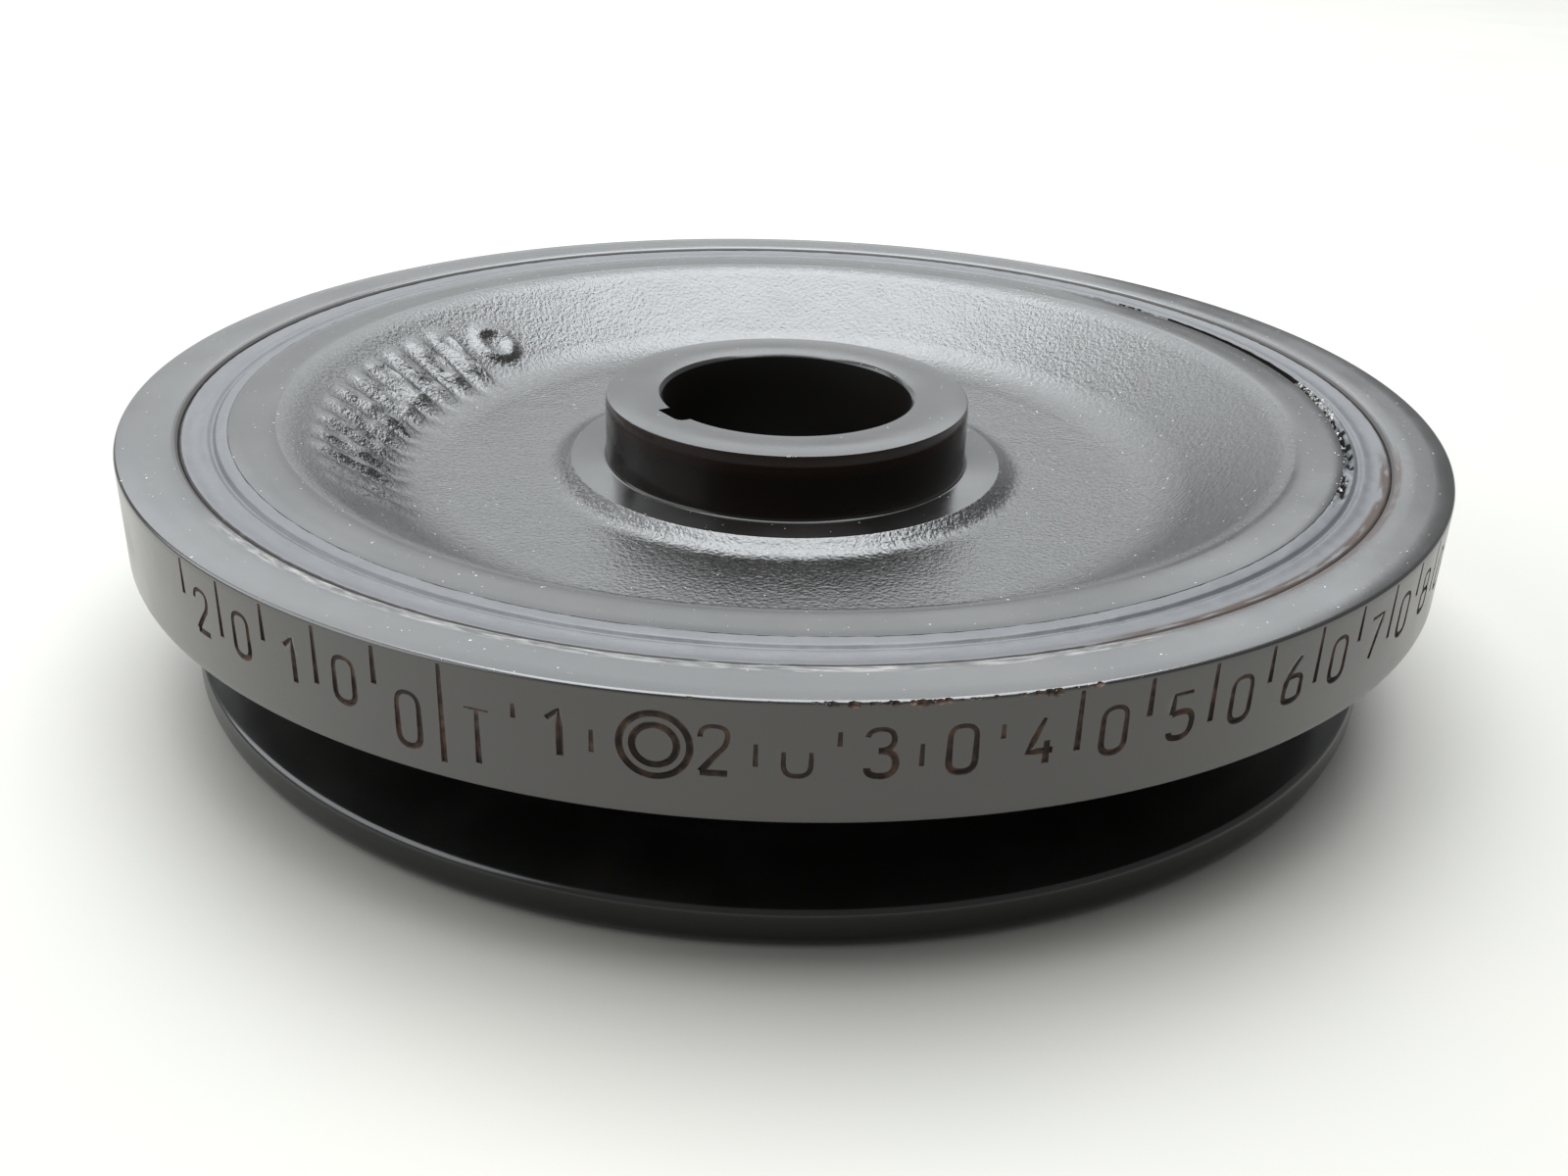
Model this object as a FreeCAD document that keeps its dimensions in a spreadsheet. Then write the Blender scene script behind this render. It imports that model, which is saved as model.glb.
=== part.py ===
import FreeCAD, Part

import math
import os
import re

import Sketcher

# Crankshaft V belt pulley with a torsional vibration damper: one iron casting (bore, seal journal, dished
# web, V groove), a vulcanised rubber ring on its rim and an inertia ring with a stamped timing scale.
#
# Frame: +Z up along the bore, towards the engine; the origin is on the bore's axis, in the plane of the
# lower flange's face, on which the pulley rests. Angles are degrees from -Y, positive towards +X.

# Driving dimensions in millimetres and degrees: alias, value, meaning.
SIZES = [
    ("bore_dia", 33.0, "bore for the crankshaft nose"),
    ("bore_break", 0.5, "chamfer at the bore's mouth"),
    ("key_width", 5.0, "keyway width"),
    ("key_depth", 2.0, "keyway depth below the bore wall"),
    ("key_angle", -53.6, "keyway direction"),
    ("journal_dia", 48.0, "oil seal journal"),
    ("journal_end", 31.0, "height of the journal's end face"),
    ("lead_in_rise", 1.4, "height of the seal lead-in taper"),
    ("lead_in_step", 0.3, "radial fall of the lead-in taper"),
    ("journal_root", 0.5, "fillet at the foot of the journal"),
    ("shoulder_dia", 57.3, "machined shoulder round the journal"),
    ("shoulder_height", 22.5, "height of the machined shoulder"),
    ("shoulder_toe", 62.0, "foot of the rough-cast fillet under the shoulder"),
    ("dish_height", 21.0, "height of the dish floor"),
    ("dish_floor_dia", 100.0, "edge of the flat dish floor"),
    ("dish_rim_dia", 128.6, "inner edge of the machined rim face"),
    ("rim_height", 31.3, "height of the machined rim face"),
    ("rim_round", 5.0, "rounding where the rim face turns down into the dish"),
    ("dish_round", 12.0, "fillet between the dish slope and the floor"),
    ("seat_dia", 140.8, "outside of the casting under the rubber"),
    ("groove_dia", 154.0, "outside of both groove flanges"),
    ("shelf_height", 18.7, "top of the upper groove flange"),
    ("groove_top", 17.2, "upper edge of the V groove at the flange diameter"),
    ("groove_bottom", 4.9, "lower edge of the V groove at the flange diameter"),
    ("groove_angle", 36.0, "included angle of the V groove"),
    ("groove_depth", 10.5, "depth of the V groove"),
    ("flange_round", 2.4, "rounding under the lower flange"),
    ("lip_round", 0.6, "rounding of the groove's lips"),
    ("root_round", 0.8, "rounding at the groove's root"),
    ("recess_dia", 119.0, "mouth of the recess under the web"),
    ("recess_roof_dia", 114.0, "roof of the recess under the web"),
    ("web_bottom", 12.5, "height of the web's lower face"),
    ("cast_round", 4.0, "cast fillets under the web"),
    ("boss_dia", 56.0, "lower end of the centre boss"),
    ("boss_root_dia", 60.0, "upper end of the centre boss"),
    ("boss_end", 2.0, "height of the boss's lower face"),
    ("bolt_seat_dia", 40.0, "counterbore for the crankshaft bolt's washers"),
    ("bolt_seat_height", 10.0, "height of the face that the washers press on"),
    ("small_round", 1.0, "edge rounding on the casting"),
    ("cast_bar_count", 12.0, "raised foundry bars on the dish slope"),
    ("cast_bar_first", -119.0, "direction of the first foundry bar"),
    ("cast_bar_sweep", 57.0, "angle from the first foundry bar to the last"),
    ("cast_bar_inner", 52.5, "radius of the bars' inner ends"),
    ("cast_bar_outer", 60.5, "radius of the bars' outer ends"),
    ("cast_bar_width", 3.0, "width of a foundry bar"),
    ("cast_bar_rise", 0.7, "rise of a foundry bar above the slope"),
    ("cast_bar_root", 1.5, "depth to which a foundry bar runs into the slope"),
    ("ring_dia", 166.0, "outside of the inertia ring"),
    ("ring_bore", 152.0, "bore of the inertia ring"),
    ("ring_bottom", 19.2, "height of the inertia ring's lower face"),
    ("ring_top", 31.6, "height of the inertia ring's upper face"),
    ("ring_break", 0.3, "edge break of the inertia ring"),
    ("ring_bevel", 0.8, "bevel inside the inertia ring's upper edge"),
    ("bond_gap", 0.1, "clearance between the rubber and the inertia ring"),
    ("rubber_bottom", 19.9, "height of the rubber's lower face"),
    ("rubber_edge", 31.0, "height of the rubber beside the metal"),
    ("rubber_dip", 30.5, "height of the rubber's moulded line and hollow"),
    ("rubber_line_dia", 144.4, "moulded line in the rubber's upper face"),
    ("rubber_crown_dia", 147.0, "inner edge of the rubber's hollow"),
    ("zero_angle", -21.2, "direction of the timing scale's zero mark"),
    ("scale_first", -25.0, "first mark of the timing scale"),
    ("scale_last", 80.0, "last mark of the timing scale"),
    ("mark_step", 5.0, "angle between timing marks"),
    ("mark_width", 0.5, "width of a timing mark"),
    ("mark_depth", 0.4, "depth of the timing marks and figures"),
    ("short_mark", 4.4, "length of a five-degree mark"),
    ("long_mark", 6.6, "length of a ten-degree mark"),
    ("zero_mark", 10.7, "length of the zero mark"),
    ("figure_height", 4.7, "height of a figure, stroke middle to stroke middle"),
    ("figure_width", 2.4, "width of a figure, stroke middle to stroke middle"),
    ("figure_base", 24.15, "height of the figures' feet"),
    ("zero_base", 21.7, "height of the feet of the two characters at zero"),
    ("zero_height", 5.6, "height of the two characters at zero"),
    ("figure_offset", 2.5, "angle from a ten-degree mark to the figure beside it"),
    ("stamp_offset", 3.9, "angle from a ten-degree mark to the round stamp beside it"),
    ("stamp_dia", 6.0, "outer ring of the round stamp that stands for a nought"),
    ("stamp_inner_dia", 4.3, "inner ring of the round stamp"),
]

ALIASES = {alias for alias, _, _ in SIZES}

# Strokes of the figures on a box one wide and one high. A stroke starts at a point and goes on with points
# (a straight line) or pairs of points (an arc through the first to the second).
GLYPHS = {
    "0": [[(0, 0.24), (0, 0.76), ((0.5, 1), (1, 0.76)), (1, 0.24), ((0.5, 0), (0, 0.24))]],
    "1": [[(0.3, 0.78), (0.8, 1), (0.8, 0)]],
    "2": [[(0, 0.76), ((0.5, 1), (1, 0.76)), (0.9, 0.55), (0, 0), (1, 0)]],
    "3": [[(0, 0.8), ((0.55, 1), (0.95, 0.76)), ((0.75, 0.58), (0.4, 0.54))],
          [(0.4, 0.54), ((1, 0.27), (0.5, 0)), ((0.15, 0.08), (0, 0.2))]],
    "4": [[(0.6, 1), (0, 0.28), (1, 0.28)], [(0.75, 0.5), (0.75, 0)]],
    "5": [[(0.95, 1), (0.1, 1), (0.05, 0.56)], [(0.05, 0.56), ((1, 0.3), (0.45, 0)), ((0.15, 0.06), (0, 0.18))]],
    "6": [[(0.8, 1), ((0.2, 0.68), (0, 0.3))], [(0, 0.3), ((0.5, 0.58), (1, 0.3)), ((0.5, 0), (0, 0.3))]],
    "7": [[(0, 1), (1, 1), (0.3, 0)]],
    "8": [[(0.1, 0.77), ((0.5, 1), (0.9, 0.77)), ((0.5, 0.54), (0.1, 0.77))],
          [(0, 0.27), ((0.5, 0.54), (1, 0.27)), ((0.5, 0), (0, 0.27))]],
    "T": [[(0, 1), (1, 1)], [(0.5, 1), (0.5, 0)]],
}

doc = FreeCAD.newDocument("v_belt_pulley")


def make_sheet():
    """Puts every driving dimension in its own aliased cell."""
    sheet = doc.addObject("Spreadsheet::Sheet", "sizes")
    for row, (alias, value, meaning) in enumerate(SIZES, start=1):
        sheet.set(f"A{row}", meaning)
        sheet.set(f"B{row}", str(value))
        sheet.setAlias(f"B{row}", alias)
    doc.recompute()
    return sheet


sheet = make_sheet()


def size(alias):
    """The value of one cell of the sheet."""
    return float(getattr(sheet, alias))


def bound(expression):
    """The same expression with each alias named as a cell of the sheet."""
    return re.sub("[a-z_]+", lambda word: f"sizes.{word[0]}" if word[0] in ALIASES else word[0], expression)


def plane(body, role):
    """One of a body's own origin planes or axes."""
    return next(item for item in body.Origin.OriginFeatures if item.Role == role)


def new_body(name):
    """An empty body with the same name and label."""
    body = doc.addObject("PartDesign::Body", name)
    body.Label = name
    return body


def new_sketch(body, name, role="XZ_Plane", offset=None):
    """A sketch on one of the body's origin planes, turned and shifted by offset."""
    sketch = body.newObject("Sketcher::SketchObject", name)
    sketch.AttachmentSupport = [(plane(body, role), "")]
    sketch.MapMode = "FlatFace"
    if offset:
        sketch.AttachmentOffset = offset
    return sketch


def pin_point(sketch, line, across, up):
    """Holds a line's first point at two expressions, measured from the sketch's origin."""
    for kind, expression in (("DistanceX", across), ("DistanceY", up)):
        value = float(sketch.evalExpression(bound(expression)))
        if value == 0:
            axis = -2 if kind == "DistanceX" else -1
            sketch.addConstraint(Sketcher.Constraint("PointOnObject", line, 1, axis))
            continue
        number = sketch.addConstraint(Sketcher.Constraint(kind, -1, 1, line, 1, value))
        sketch.setExpression(f"Constraints[{number}]", bound(expression))


def closed_outline(sketch, corners):
    """A closed outline of straight lines whose corners are pairs of expressions."""
    places = [[float(sketch.evalExpression(bound(text))) for text in corner] for corner in corners]
    points = [FreeCAD.Vector(across, up, 0) for across, up in places]
    for here, there in zip(points, points[1:] + points[:1]):
        sketch.addGeometry(Part.LineSegment(here, there), False)
    count = len(points)
    for line in range(count):
        sketch.addConstraint(Sketcher.Constraint("Coincident", line, 2, (line + 1) % count, 1))
    for line, (across, up) in enumerate(corners):
        pin_point(sketch, line, across, up)


def revolved(body, name, corners):
    """A full turn of a closed outline, given as radius and height, about the body's Z axis."""
    sketch = new_sketch(body, name + "_outline")
    closed_outline(sketch, corners)
    feature = body.newObject("PartDesign::Revolution", name)
    feature.Profile = sketch
    feature.ReferenceAxis = (sketch, ["V_Axis"])
    feature.Angle = 360
    doc.recompute()
    return feature


def circle_edges(shape, places):
    """Names of the circular edges about Z that lie at each radius and height."""
    names = []
    for radius, height in places:
        found = [
            f"Edge{number}"
            for number, edge in enumerate(shape.Edges, start=1)
            if isinstance(edge.Curve, Part.Circle)
            and abs(edge.Curve.Radius - radius) < 0.01
            and abs(edge.Curve.Center.z - height) < 0.01
        ]
        if not found:
            raise ValueError(f"no edge at radius {radius:.2f}, height {height:.2f}")
        names += found
    return names


def rounded(body, name, radius, places):
    """Fillets the circular edges at the given radii and heights."""
    base = body.Tip
    feature = body.newObject("PartDesign::Fillet", name)
    feature.Base = (base, circle_edges(base.Shape, places))
    feature.setExpression("Radius", bound(radius))
    doc.recompute()
    return feature


def pattern(body, name, originals, first_to_last, count):
    """Repeats features about the body's Z axis, evenly over the angle from the first to the last."""
    feature = body.newObject("PartDesign::PolarPattern", name)
    feature.Originals = originals
    feature.Axis = (plane(body, "Z_Axis"), [""])
    feature.setExpression("Angle", bound(first_to_last))
    feature.setExpression("Occurrences", bound(count))
    body.Tip = feature
    doc.recompute()
    return feature


def facing(angle, distance):
    """The offset of an XZ sketch that faces outwards at an angle, a distance from the axis."""
    turn = FreeCAD.Rotation(FreeCAD.Vector(0, 1, 0), angle)
    return FreeCAD.Placement(turn.multVec(FreeCAD.Vector(0, 0, distance)), turn)


def hub_casting():
    """The casting: a turned outline with rounded corners, a keyway and raised foundry bars."""
    body = new_body("hub_casting")
    root_low = "groove_bottom + groove_depth * tan( groove_angle / 2 )"
    root_high = "groove_top - groove_depth * tan( groove_angle / 2 )"
    revolved(body, "casting", [
        ("bore_dia / 2", "bolt_seat_height"),
        ("bolt_seat_dia / 2", "bolt_seat_height"),
        ("bolt_seat_dia / 2", "boss_end"),
        ("boss_dia / 2", "boss_end"),
        ("boss_root_dia / 2", "web_bottom"),
        ("recess_roof_dia / 2", "web_bottom"),
        ("recess_dia / 2", "0"),
        ("groove_dia / 2", "0"),
        ("groove_dia / 2", "groove_bottom"),
        ("groove_dia / 2 - groove_depth", root_low),
        ("groove_dia / 2 - groove_depth", root_high),
        ("groove_dia / 2", "groove_top"),
        ("groove_dia / 2", "shelf_height"),
        ("seat_dia / 2", "shelf_height"),
        ("seat_dia / 2", "rim_height"),
        ("dish_rim_dia / 2", "rim_height"),
        ("dish_floor_dia / 2", "dish_height"),
        ("shoulder_toe / 2", "dish_height"),
        ("shoulder_dia / 2", "shoulder_height"),
        ("journal_dia / 2", "shoulder_height"),
        ("journal_dia / 2", "journal_end - lead_in_rise"),
        ("journal_dia / 2 - lead_in_step", "journal_end"),
        ("bore_dia / 2 + bore_break", "journal_end"),
        ("bore_dia / 2", "journal_end - bore_break"),
    ])
    root_radius = (size("groove_dia") / 2) - size("groove_depth")
    wall_rise = size("groove_depth") * math.tan(math.radians(size("groove_angle") / 2))
    rounded(body, "rim_edge", "rim_round", [(size("dish_rim_dia") / 2, size("rim_height"))])
    rounded(body, "dish_edge", "dish_round", [(size("dish_floor_dia") / 2, size("dish_height"))])
    rounded(body, "journal_foot", "journal_root", [(size("journal_dia") / 2, size("shoulder_height"))])
    rounded(body, "cast_corners", "cast_round", [
        (size("boss_root_dia") / 2, size("web_bottom")),
        (size("recess_roof_dia") / 2, size("web_bottom")),
    ])
    rounded(body, "flange_edge", "flange_round", [(size("groove_dia") / 2, 0)])
    rounded(body, "groove_lips", "lip_round", [
        (size("groove_dia") / 2, size("groove_bottom")),
        (size("groove_dia") / 2, size("groove_top")),
    ])
    rounded(body, "groove_root", "root_round", [
        (root_radius, size("groove_bottom") + wall_rise),
        (root_radius, size("groove_top") - wall_rise),
    ])
    rounded(body, "small_edges", "small_round", [
        (size("boss_dia") / 2, size("boss_end")),
        (size("recess_dia") / 2, 0),
        (size("shoulder_toe") / 2, size("dish_height")),
    ])
    keyway(body)
    foundry_bars(body)
    return body


def keyway(body):
    """A slot along the whole bore wall."""
    sketch = new_sketch(body, "keyway_outline", "XY_Plane")
    turn = FreeCAD.Rotation(FreeCAD.Vector(0, 0, 1), size("key_angle"))
    sketch.AttachmentOffset = FreeCAD.Placement(FreeCAD.Vector(0, 0, 0), turn)
    closed_outline(sketch, [
        ("-1 * key_width / 2", "-1 * bore_dia / 2 - key_depth"),
        ("key_width / 2", "-1 * bore_dia / 2 - key_depth"),
        ("key_width / 2", "-1 * bore_dia / 4"),
        ("-1 * key_width / 2", "-1 * bore_dia / 4"),
    ])
    cut = body.newObject("PartDesign::Pocket", "keyway")
    cut.Profile = sketch
    cut.setExpression("Length", bound("journal_end + small_round"))
    cut.Reversed = True
    doc.recompute()


def foundry_bars(body):
    """Plain raised bars across the dish slope, in an even row about the axis."""
    sketch = new_sketch(body, "foundry_bar_outline", offset=facing(size("cast_bar_first") + 90, 0))
    steep = "( rim_height - dish_height ) / ( dish_rim_dia - dish_floor_dia ) * 2"
    at_inner = f"dish_height + ( cast_bar_inner - dish_floor_dia / 2 ) * {steep}"
    at_outer = f"dish_height + ( cast_bar_outer - dish_floor_dia / 2 ) * {steep}"
    # The sketch plane is turned a further quarter turn, so its -X side looks outwards along the bar.
    closed_outline(sketch, [
        ("-1 * cast_bar_inner", f"{at_inner} - cast_bar_root"),
        ("-1 * cast_bar_outer", f"{at_outer} - cast_bar_root"),
        ("-1 * cast_bar_outer", f"{at_outer} + cast_bar_rise"),
        ("-1 * cast_bar_inner", f"{at_inner} + cast_bar_rise"),
    ])
    bar = body.newObject("PartDesign::Pad", "foundry_bar")
    bar.Profile = sketch
    bar.setExpression("Length", bound("cast_bar_width"))
    bar.Midplane = True
    doc.recompute()
    pattern(body, "foundry_bar_row", [bar], "cast_bar_sweep", "cast_bar_count")


def rubber_ring():
    """The bonded rubber, with a moulded line and a shallow hollow in its upper face."""
    body = new_body("rubber_ring")
    outer = "ring_bore / 2 - bond_gap"
    revolved(body, "rubber", [
        ("seat_dia / 2", "rubber_bottom"),
        (outer, "rubber_bottom"),
        (outer, "rubber_edge"),
        (f"{outer} - ring_bevel", "rubber_dip + ring_break"),
        ("rubber_crown_dia / 2", "rubber_dip + ring_break"),
        ("rubber_line_dia / 2", "rubber_dip"),
        ("rubber_line_dia / 2 - ring_break", "rubber_edge"),
        ("seat_dia / 2", "rubber_edge"),
    ])
    return body


def timing_marks(body, name, first, length, sweep=None, count=None):
    """Upright marks cut down from the ring's upper edge, the first at an angle and the rest over a sweep."""
    start = size("zero_angle") + first
    sketch = new_sketch(body, name + "_outline", offset=facing(start, size("ring_dia") / 2 + 1))
    closed_outline(sketch, [
        ("-1 * mark_width / 2", f"ring_top - {length}"),
        ("mark_width / 2", f"ring_top - {length}"),
        ("mark_width / 2", "ring_top + 1"),
        ("-1 * mark_width / 2", "ring_top + 1"),
    ])
    cut = body.newObject("PartDesign::Pocket", name)
    cut.Profile = sketch
    cut.setExpression("Length", bound("mark_depth + 1"))
    doc.recompute()
    if sweep:
        pattern(body, name + "_row", [cut], sweep, count)


def stroke_wire(points, width, height):
    """The middle line of one stroke, in the XZ plane."""
    def place(point):
        return FreeCAD.Vector((point[0] - 0.5) * width, 0, point[1] * height)

    edges = []
    here = place(points[0])
    for item in points[1:]:
        if isinstance(item[0], tuple):
            there = place(item[1])
            edges.append(Part.Arc(here, place(item[0]), there).toShape())
        else:
            there = place(item)
            edges.append(Part.makeLine(here, there))
        here = there
    return Part.Wire(edges)


def stroke_face(wire, width):
    """The area that a stroke of a given width covers."""
    half = width / 2
    if wire.isClosed():
        inside = Part.Face(wire.makeOffset2D(-half, 0, False, False))
        return Part.Face(wire.makeOffset2D(half, 0, False, False)).cut(inside)
    if len(wire.Edges) > 1:
        return Part.Face(wire.makeOffset2D(half, 0, False, False))
    start, end = (vertex.Point for vertex in wire.Vertexes)
    past = (end - start).normalize() * half
    across = FreeCAD.Vector(-past.z, 0, past.x)
    corners = [start - past + across, end + past + across, end + past - across, start - past - across]
    return Part.Face(Part.makePolygon(corners + corners[:1]))


def stamped(face, angle, height):
    """A cutter as deep as the stamping, over an area drawn at the origin, at a place on the ring's side."""
    floor = size("ring_dia") / 2 - size("mark_depth")
    solid = face.extrude(FreeCAD.Vector(0, -size("mark_depth") - 1, 0))
    solid.translate(FreeCAD.Vector(0, -floor, height))
    solid.rotate(FreeCAD.Vector(0, 0, 0), FreeCAD.Vector(0, 0, 1), angle)
    return solid


def figure_cutters(figure, angle, base, height):
    """Cutters of one figure of the timing scale."""
    wires = [stroke_wire(points, size("figure_width"), height) for points in GLYPHS[figure]]
    return [stamped(stroke_face(wire, size("mark_width")), angle, base) for wire in wires]


def ring_cutter(diameter, angle, height):
    """A cutter of one circle of the round stamp."""
    outline = Part.Wire([Part.makeCircle(diameter / 2, FreeCAD.Vector(0, 0, 0), FreeCAD.Vector(0, -1, 0))])
    return stamped(stroke_face(outline, size("mark_width")), angle, height)


def scale_figures():
    """Cutters of all the figures: a tens figure before each ten-degree mark and a nought after it."""
    offset, base, height = size("figure_offset"), size("figure_base"), size("figure_height")
    zero_base, zero_height = size("zero_base"), size("zero_height")
    cutters = []
    for tens in range(-2, 9):
        angle = size("zero_angle") + 10 * tens
        if tens == 0:
            cutters += figure_cutters("0", angle - offset, zero_base, zero_height)
            cutters += figure_cutters("T", angle + offset, zero_base, zero_height)
            continue
        cutters += figure_cutters(str(abs(tens)), angle - offset, base, height)
        if tens == 1:
            for name in ("stamp_dia", "stamp_inner_dia"):
                cutters.append(ring_cutter(size(name), angle + size("stamp_offset"), base + height / 2))
        else:
            cutters += figure_cutters("0", angle + offset, base, height)
    return cutters


def inertia_ring():
    """The turned ring with its marks, less the stamped figures."""
    body = new_body("turned_ring")
    revolved(body, "ring", [
        ("ring_bore / 2", "ring_bottom"),
        ("ring_dia / 2 - ring_break", "ring_bottom"),
        ("ring_dia / 2", "ring_bottom + ring_break"),
        ("ring_dia / 2", "ring_top - ring_break"),
        ("ring_dia / 2 - ring_break", "ring_top"),
        ("ring_bore / 2 + ring_bevel", "ring_top"),
        ("ring_bore / 2", "ring_top - ring_break"),
    ])
    sweep = "scale_last - scale_first"
    timing_marks(body, "five_degree_mark", size("scale_first"), "short_mark", sweep, f"( {sweep} ) / mark_step + 1")
    sweep = "scale_last - scale_first - mark_step"
    timing_marks(body, "ten_degree_mark", size("scale_first") + size("mark_step"), "long_mark", sweep,
                 f"( {sweep} ) / ( 2 * mark_step ) + 1")
    timing_marks(body, "zero_mark", 0, "zero_mark")
    figures = doc.addObject("Part::Feature", "scale_figures")
    figures.Shape = Part.makeCompound(scale_figures())
    ring = doc.addObject("Part::Cut", "inertia_ring")
    ring.Base = body
    ring.Tool = figures
    ring.Label = "inertia_ring"
    doc.recompute()
    return ring


def check(pieces):
    """Stops if any object failed or any piece has no sound shape."""
    for item in doc.Objects:
        if {"Invalid", "Error"} & set(item.State):
            raise ValueError(f"{item.Label} is {item.State}")
    for piece in pieces:
        if piece.Shape.isNull() or not piece.Shape.isValid():
            raise ValueError(f"{piece.Label} has no sound shape")
        print(f"{piece.Label}: {piece.Shape.Volume / 1000:.1f} cm3, {len(piece.Shape.Solids)} solid")


pieces = [hub_casting(), rubber_ring(), inertia_ring()]
doc.recompute()
check(pieces)
os.makedirs("parts", exist_ok=True)
for piece in pieces:
    piece.Shape.exportStep(f"parts/{piece.Label}.step")
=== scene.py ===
"""Visual model of a crankshaft V belt pulley with a torsional vibration damper.

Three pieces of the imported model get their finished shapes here: the iron casting, the bonded rubber and the
inertia ring with its stamped timing scale. The loose paint crumbs on them are pieces of their own.
Lengths in the classes are millimetres, and meshes are metres. Angles are degrees from -Y, positive towards
+X.
"""

import logging
import math
import random
from collections.abc import Callable, Iterable
from dataclasses import dataclass
from enum import Enum

import bmesh
import bpy
from mathutils import Euler, Matrix, Vector, noise


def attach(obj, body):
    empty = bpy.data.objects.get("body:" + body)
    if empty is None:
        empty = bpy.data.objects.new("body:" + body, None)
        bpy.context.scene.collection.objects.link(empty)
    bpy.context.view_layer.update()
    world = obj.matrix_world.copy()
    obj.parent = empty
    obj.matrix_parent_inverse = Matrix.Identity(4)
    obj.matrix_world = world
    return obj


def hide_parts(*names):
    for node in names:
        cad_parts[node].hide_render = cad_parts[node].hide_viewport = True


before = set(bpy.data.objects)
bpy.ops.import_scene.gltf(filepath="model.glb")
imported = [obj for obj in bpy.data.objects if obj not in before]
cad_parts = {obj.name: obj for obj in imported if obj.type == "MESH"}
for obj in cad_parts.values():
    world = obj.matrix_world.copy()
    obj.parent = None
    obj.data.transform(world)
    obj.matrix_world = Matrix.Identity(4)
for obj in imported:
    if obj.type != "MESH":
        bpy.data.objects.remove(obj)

LOG = logging.getLogger("pulley")
MM = 0.001
SECTORS = 24
WELD = 0.002 * MM
AROUND = 0.012
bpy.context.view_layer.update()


# Shared helpers


def linear(colour: str) -> tuple[float, float, float, float]:
    """Turns an sRGB hex colour into linear light.

    Args:
        colour: Six hex digits with a leading hash.

    Returns:
        Linear red, green, blue and an alpha of one.
    """
    shares = [int(colour[at:at + 2], 16) / 255 for at in (1, 3, 5)]
    red, green, blue = (
        share / 12.92 if share <= 0.04045 else ((share + 0.055) / 1.055) ** 2.4 for share in shares
    )
    return red, green, blue, 1.0


def at_angle(radius: float, angle: float, height: float) -> Vector:
    """A point in metres from a radius and height in millimetres and an angle in degrees."""
    turn = math.radians(angle)
    return Vector((radius * math.sin(turn), -radius * math.cos(turn), height)) * MM


def angle_of(point: Vector) -> float:
    """The direction of a point about the axis, in degrees."""
    return math.degrees(math.atan2(point.x, -point.y))


def fade(value: float, full: float, gone: float) -> float:
    """One up to a first value, falling smoothly to nought at a second."""
    share = min(max((gone - value) / (gone - full), 0.0), 1.0)
    return share * share * (3 - 2 * share)


def add_node(tree: bpy.types.NodeTree, kind: str, inputs: dict | None = None,
             **settings: object) -> bpy.types.Node:
    """Adds one node with its settings, values and links.

    Args:
        tree: The node tree.
        kind: The node's type.
        inputs: Values or output sockets by input name or number.
        **settings: The node's own properties.

    Returns:
        The new node.
    """
    node = tree.nodes.new(kind)
    for name, value in settings.items():
        setattr(node, name, value)
    for name, value in (inputs or {}).items():
        if isinstance(value, bpy.types.NodeSocket):
            tree.links.new(value, node.inputs[name])
        else:
            node.inputs[name].default_value = value
    return node


# Finishes

THIN_FILM = "#1d1b1a"
LIFTED_FILM = "#6e6c69"
DUST = "#8d8c8a"
EDGE_RUST = "#26180f"
JOINT_RUST = "#140b07"
RUSTED_STRETCH = (0.5, 1.25)


@dataclass(frozen=True)
class Place:
    """Sockets that say where on the pulley a shading point is, in metres and radians.

    Attributes:
        point: Position in the object's own frame.
        radius: Distance from the axis.
        angle: Direction about the axis from -Y.
        height: Height above the floor.
        along: Coordinates that stretch a pattern about six times as long round the axis as across it.
    """

    point: bpy.types.NodeSocket
    radius: bpy.types.NodeSocket
    angle: bpy.types.NodeSocket
    height: bpy.types.NodeSocket
    along: bpy.types.NodeSocket


def read_place(tree: bpy.types.NodeTree) -> Place:
    """Works out radius, angle and height from Object coordinates.

    Args:
        tree: The node tree.

    Returns:
        The sockets that say where a shading point is.
    """
    point = add_node(tree, "ShaderNodeTexCoord").outputs["Object"]
    axes = add_node(tree, "ShaderNodeSeparateXYZ", {0: point})
    flat = add_node(tree, "ShaderNodeCombineXYZ", {0: axes.outputs[0], 1: axes.outputs[1]})
    length = add_node(tree, "ShaderNodeVectorMath", {0: flat.outputs[0]}, operation="LENGTH")
    radius = length.outputs["Value"]
    back = add_node(tree, "ShaderNodeMath", {0: axes.outputs[1], 1: -1.0}, operation="MULTIPLY").outputs[0]
    angle = add_node(tree, "ShaderNodeMath", {0: axes.outputs[0], 1: back}, operation="ARCTAN2").outputs[0]
    slow = add_node(tree, "ShaderNodeMath", {0: angle, 1: AROUND}, operation="MULTIPLY").outputs[0]
    along = add_node(tree, "ShaderNodeCombineXYZ", {0: radius, 1: slow, 2: axes.outputs[2]}).outputs[0]
    return Place(point, radius, angle, axes.outputs[2], along)


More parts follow.
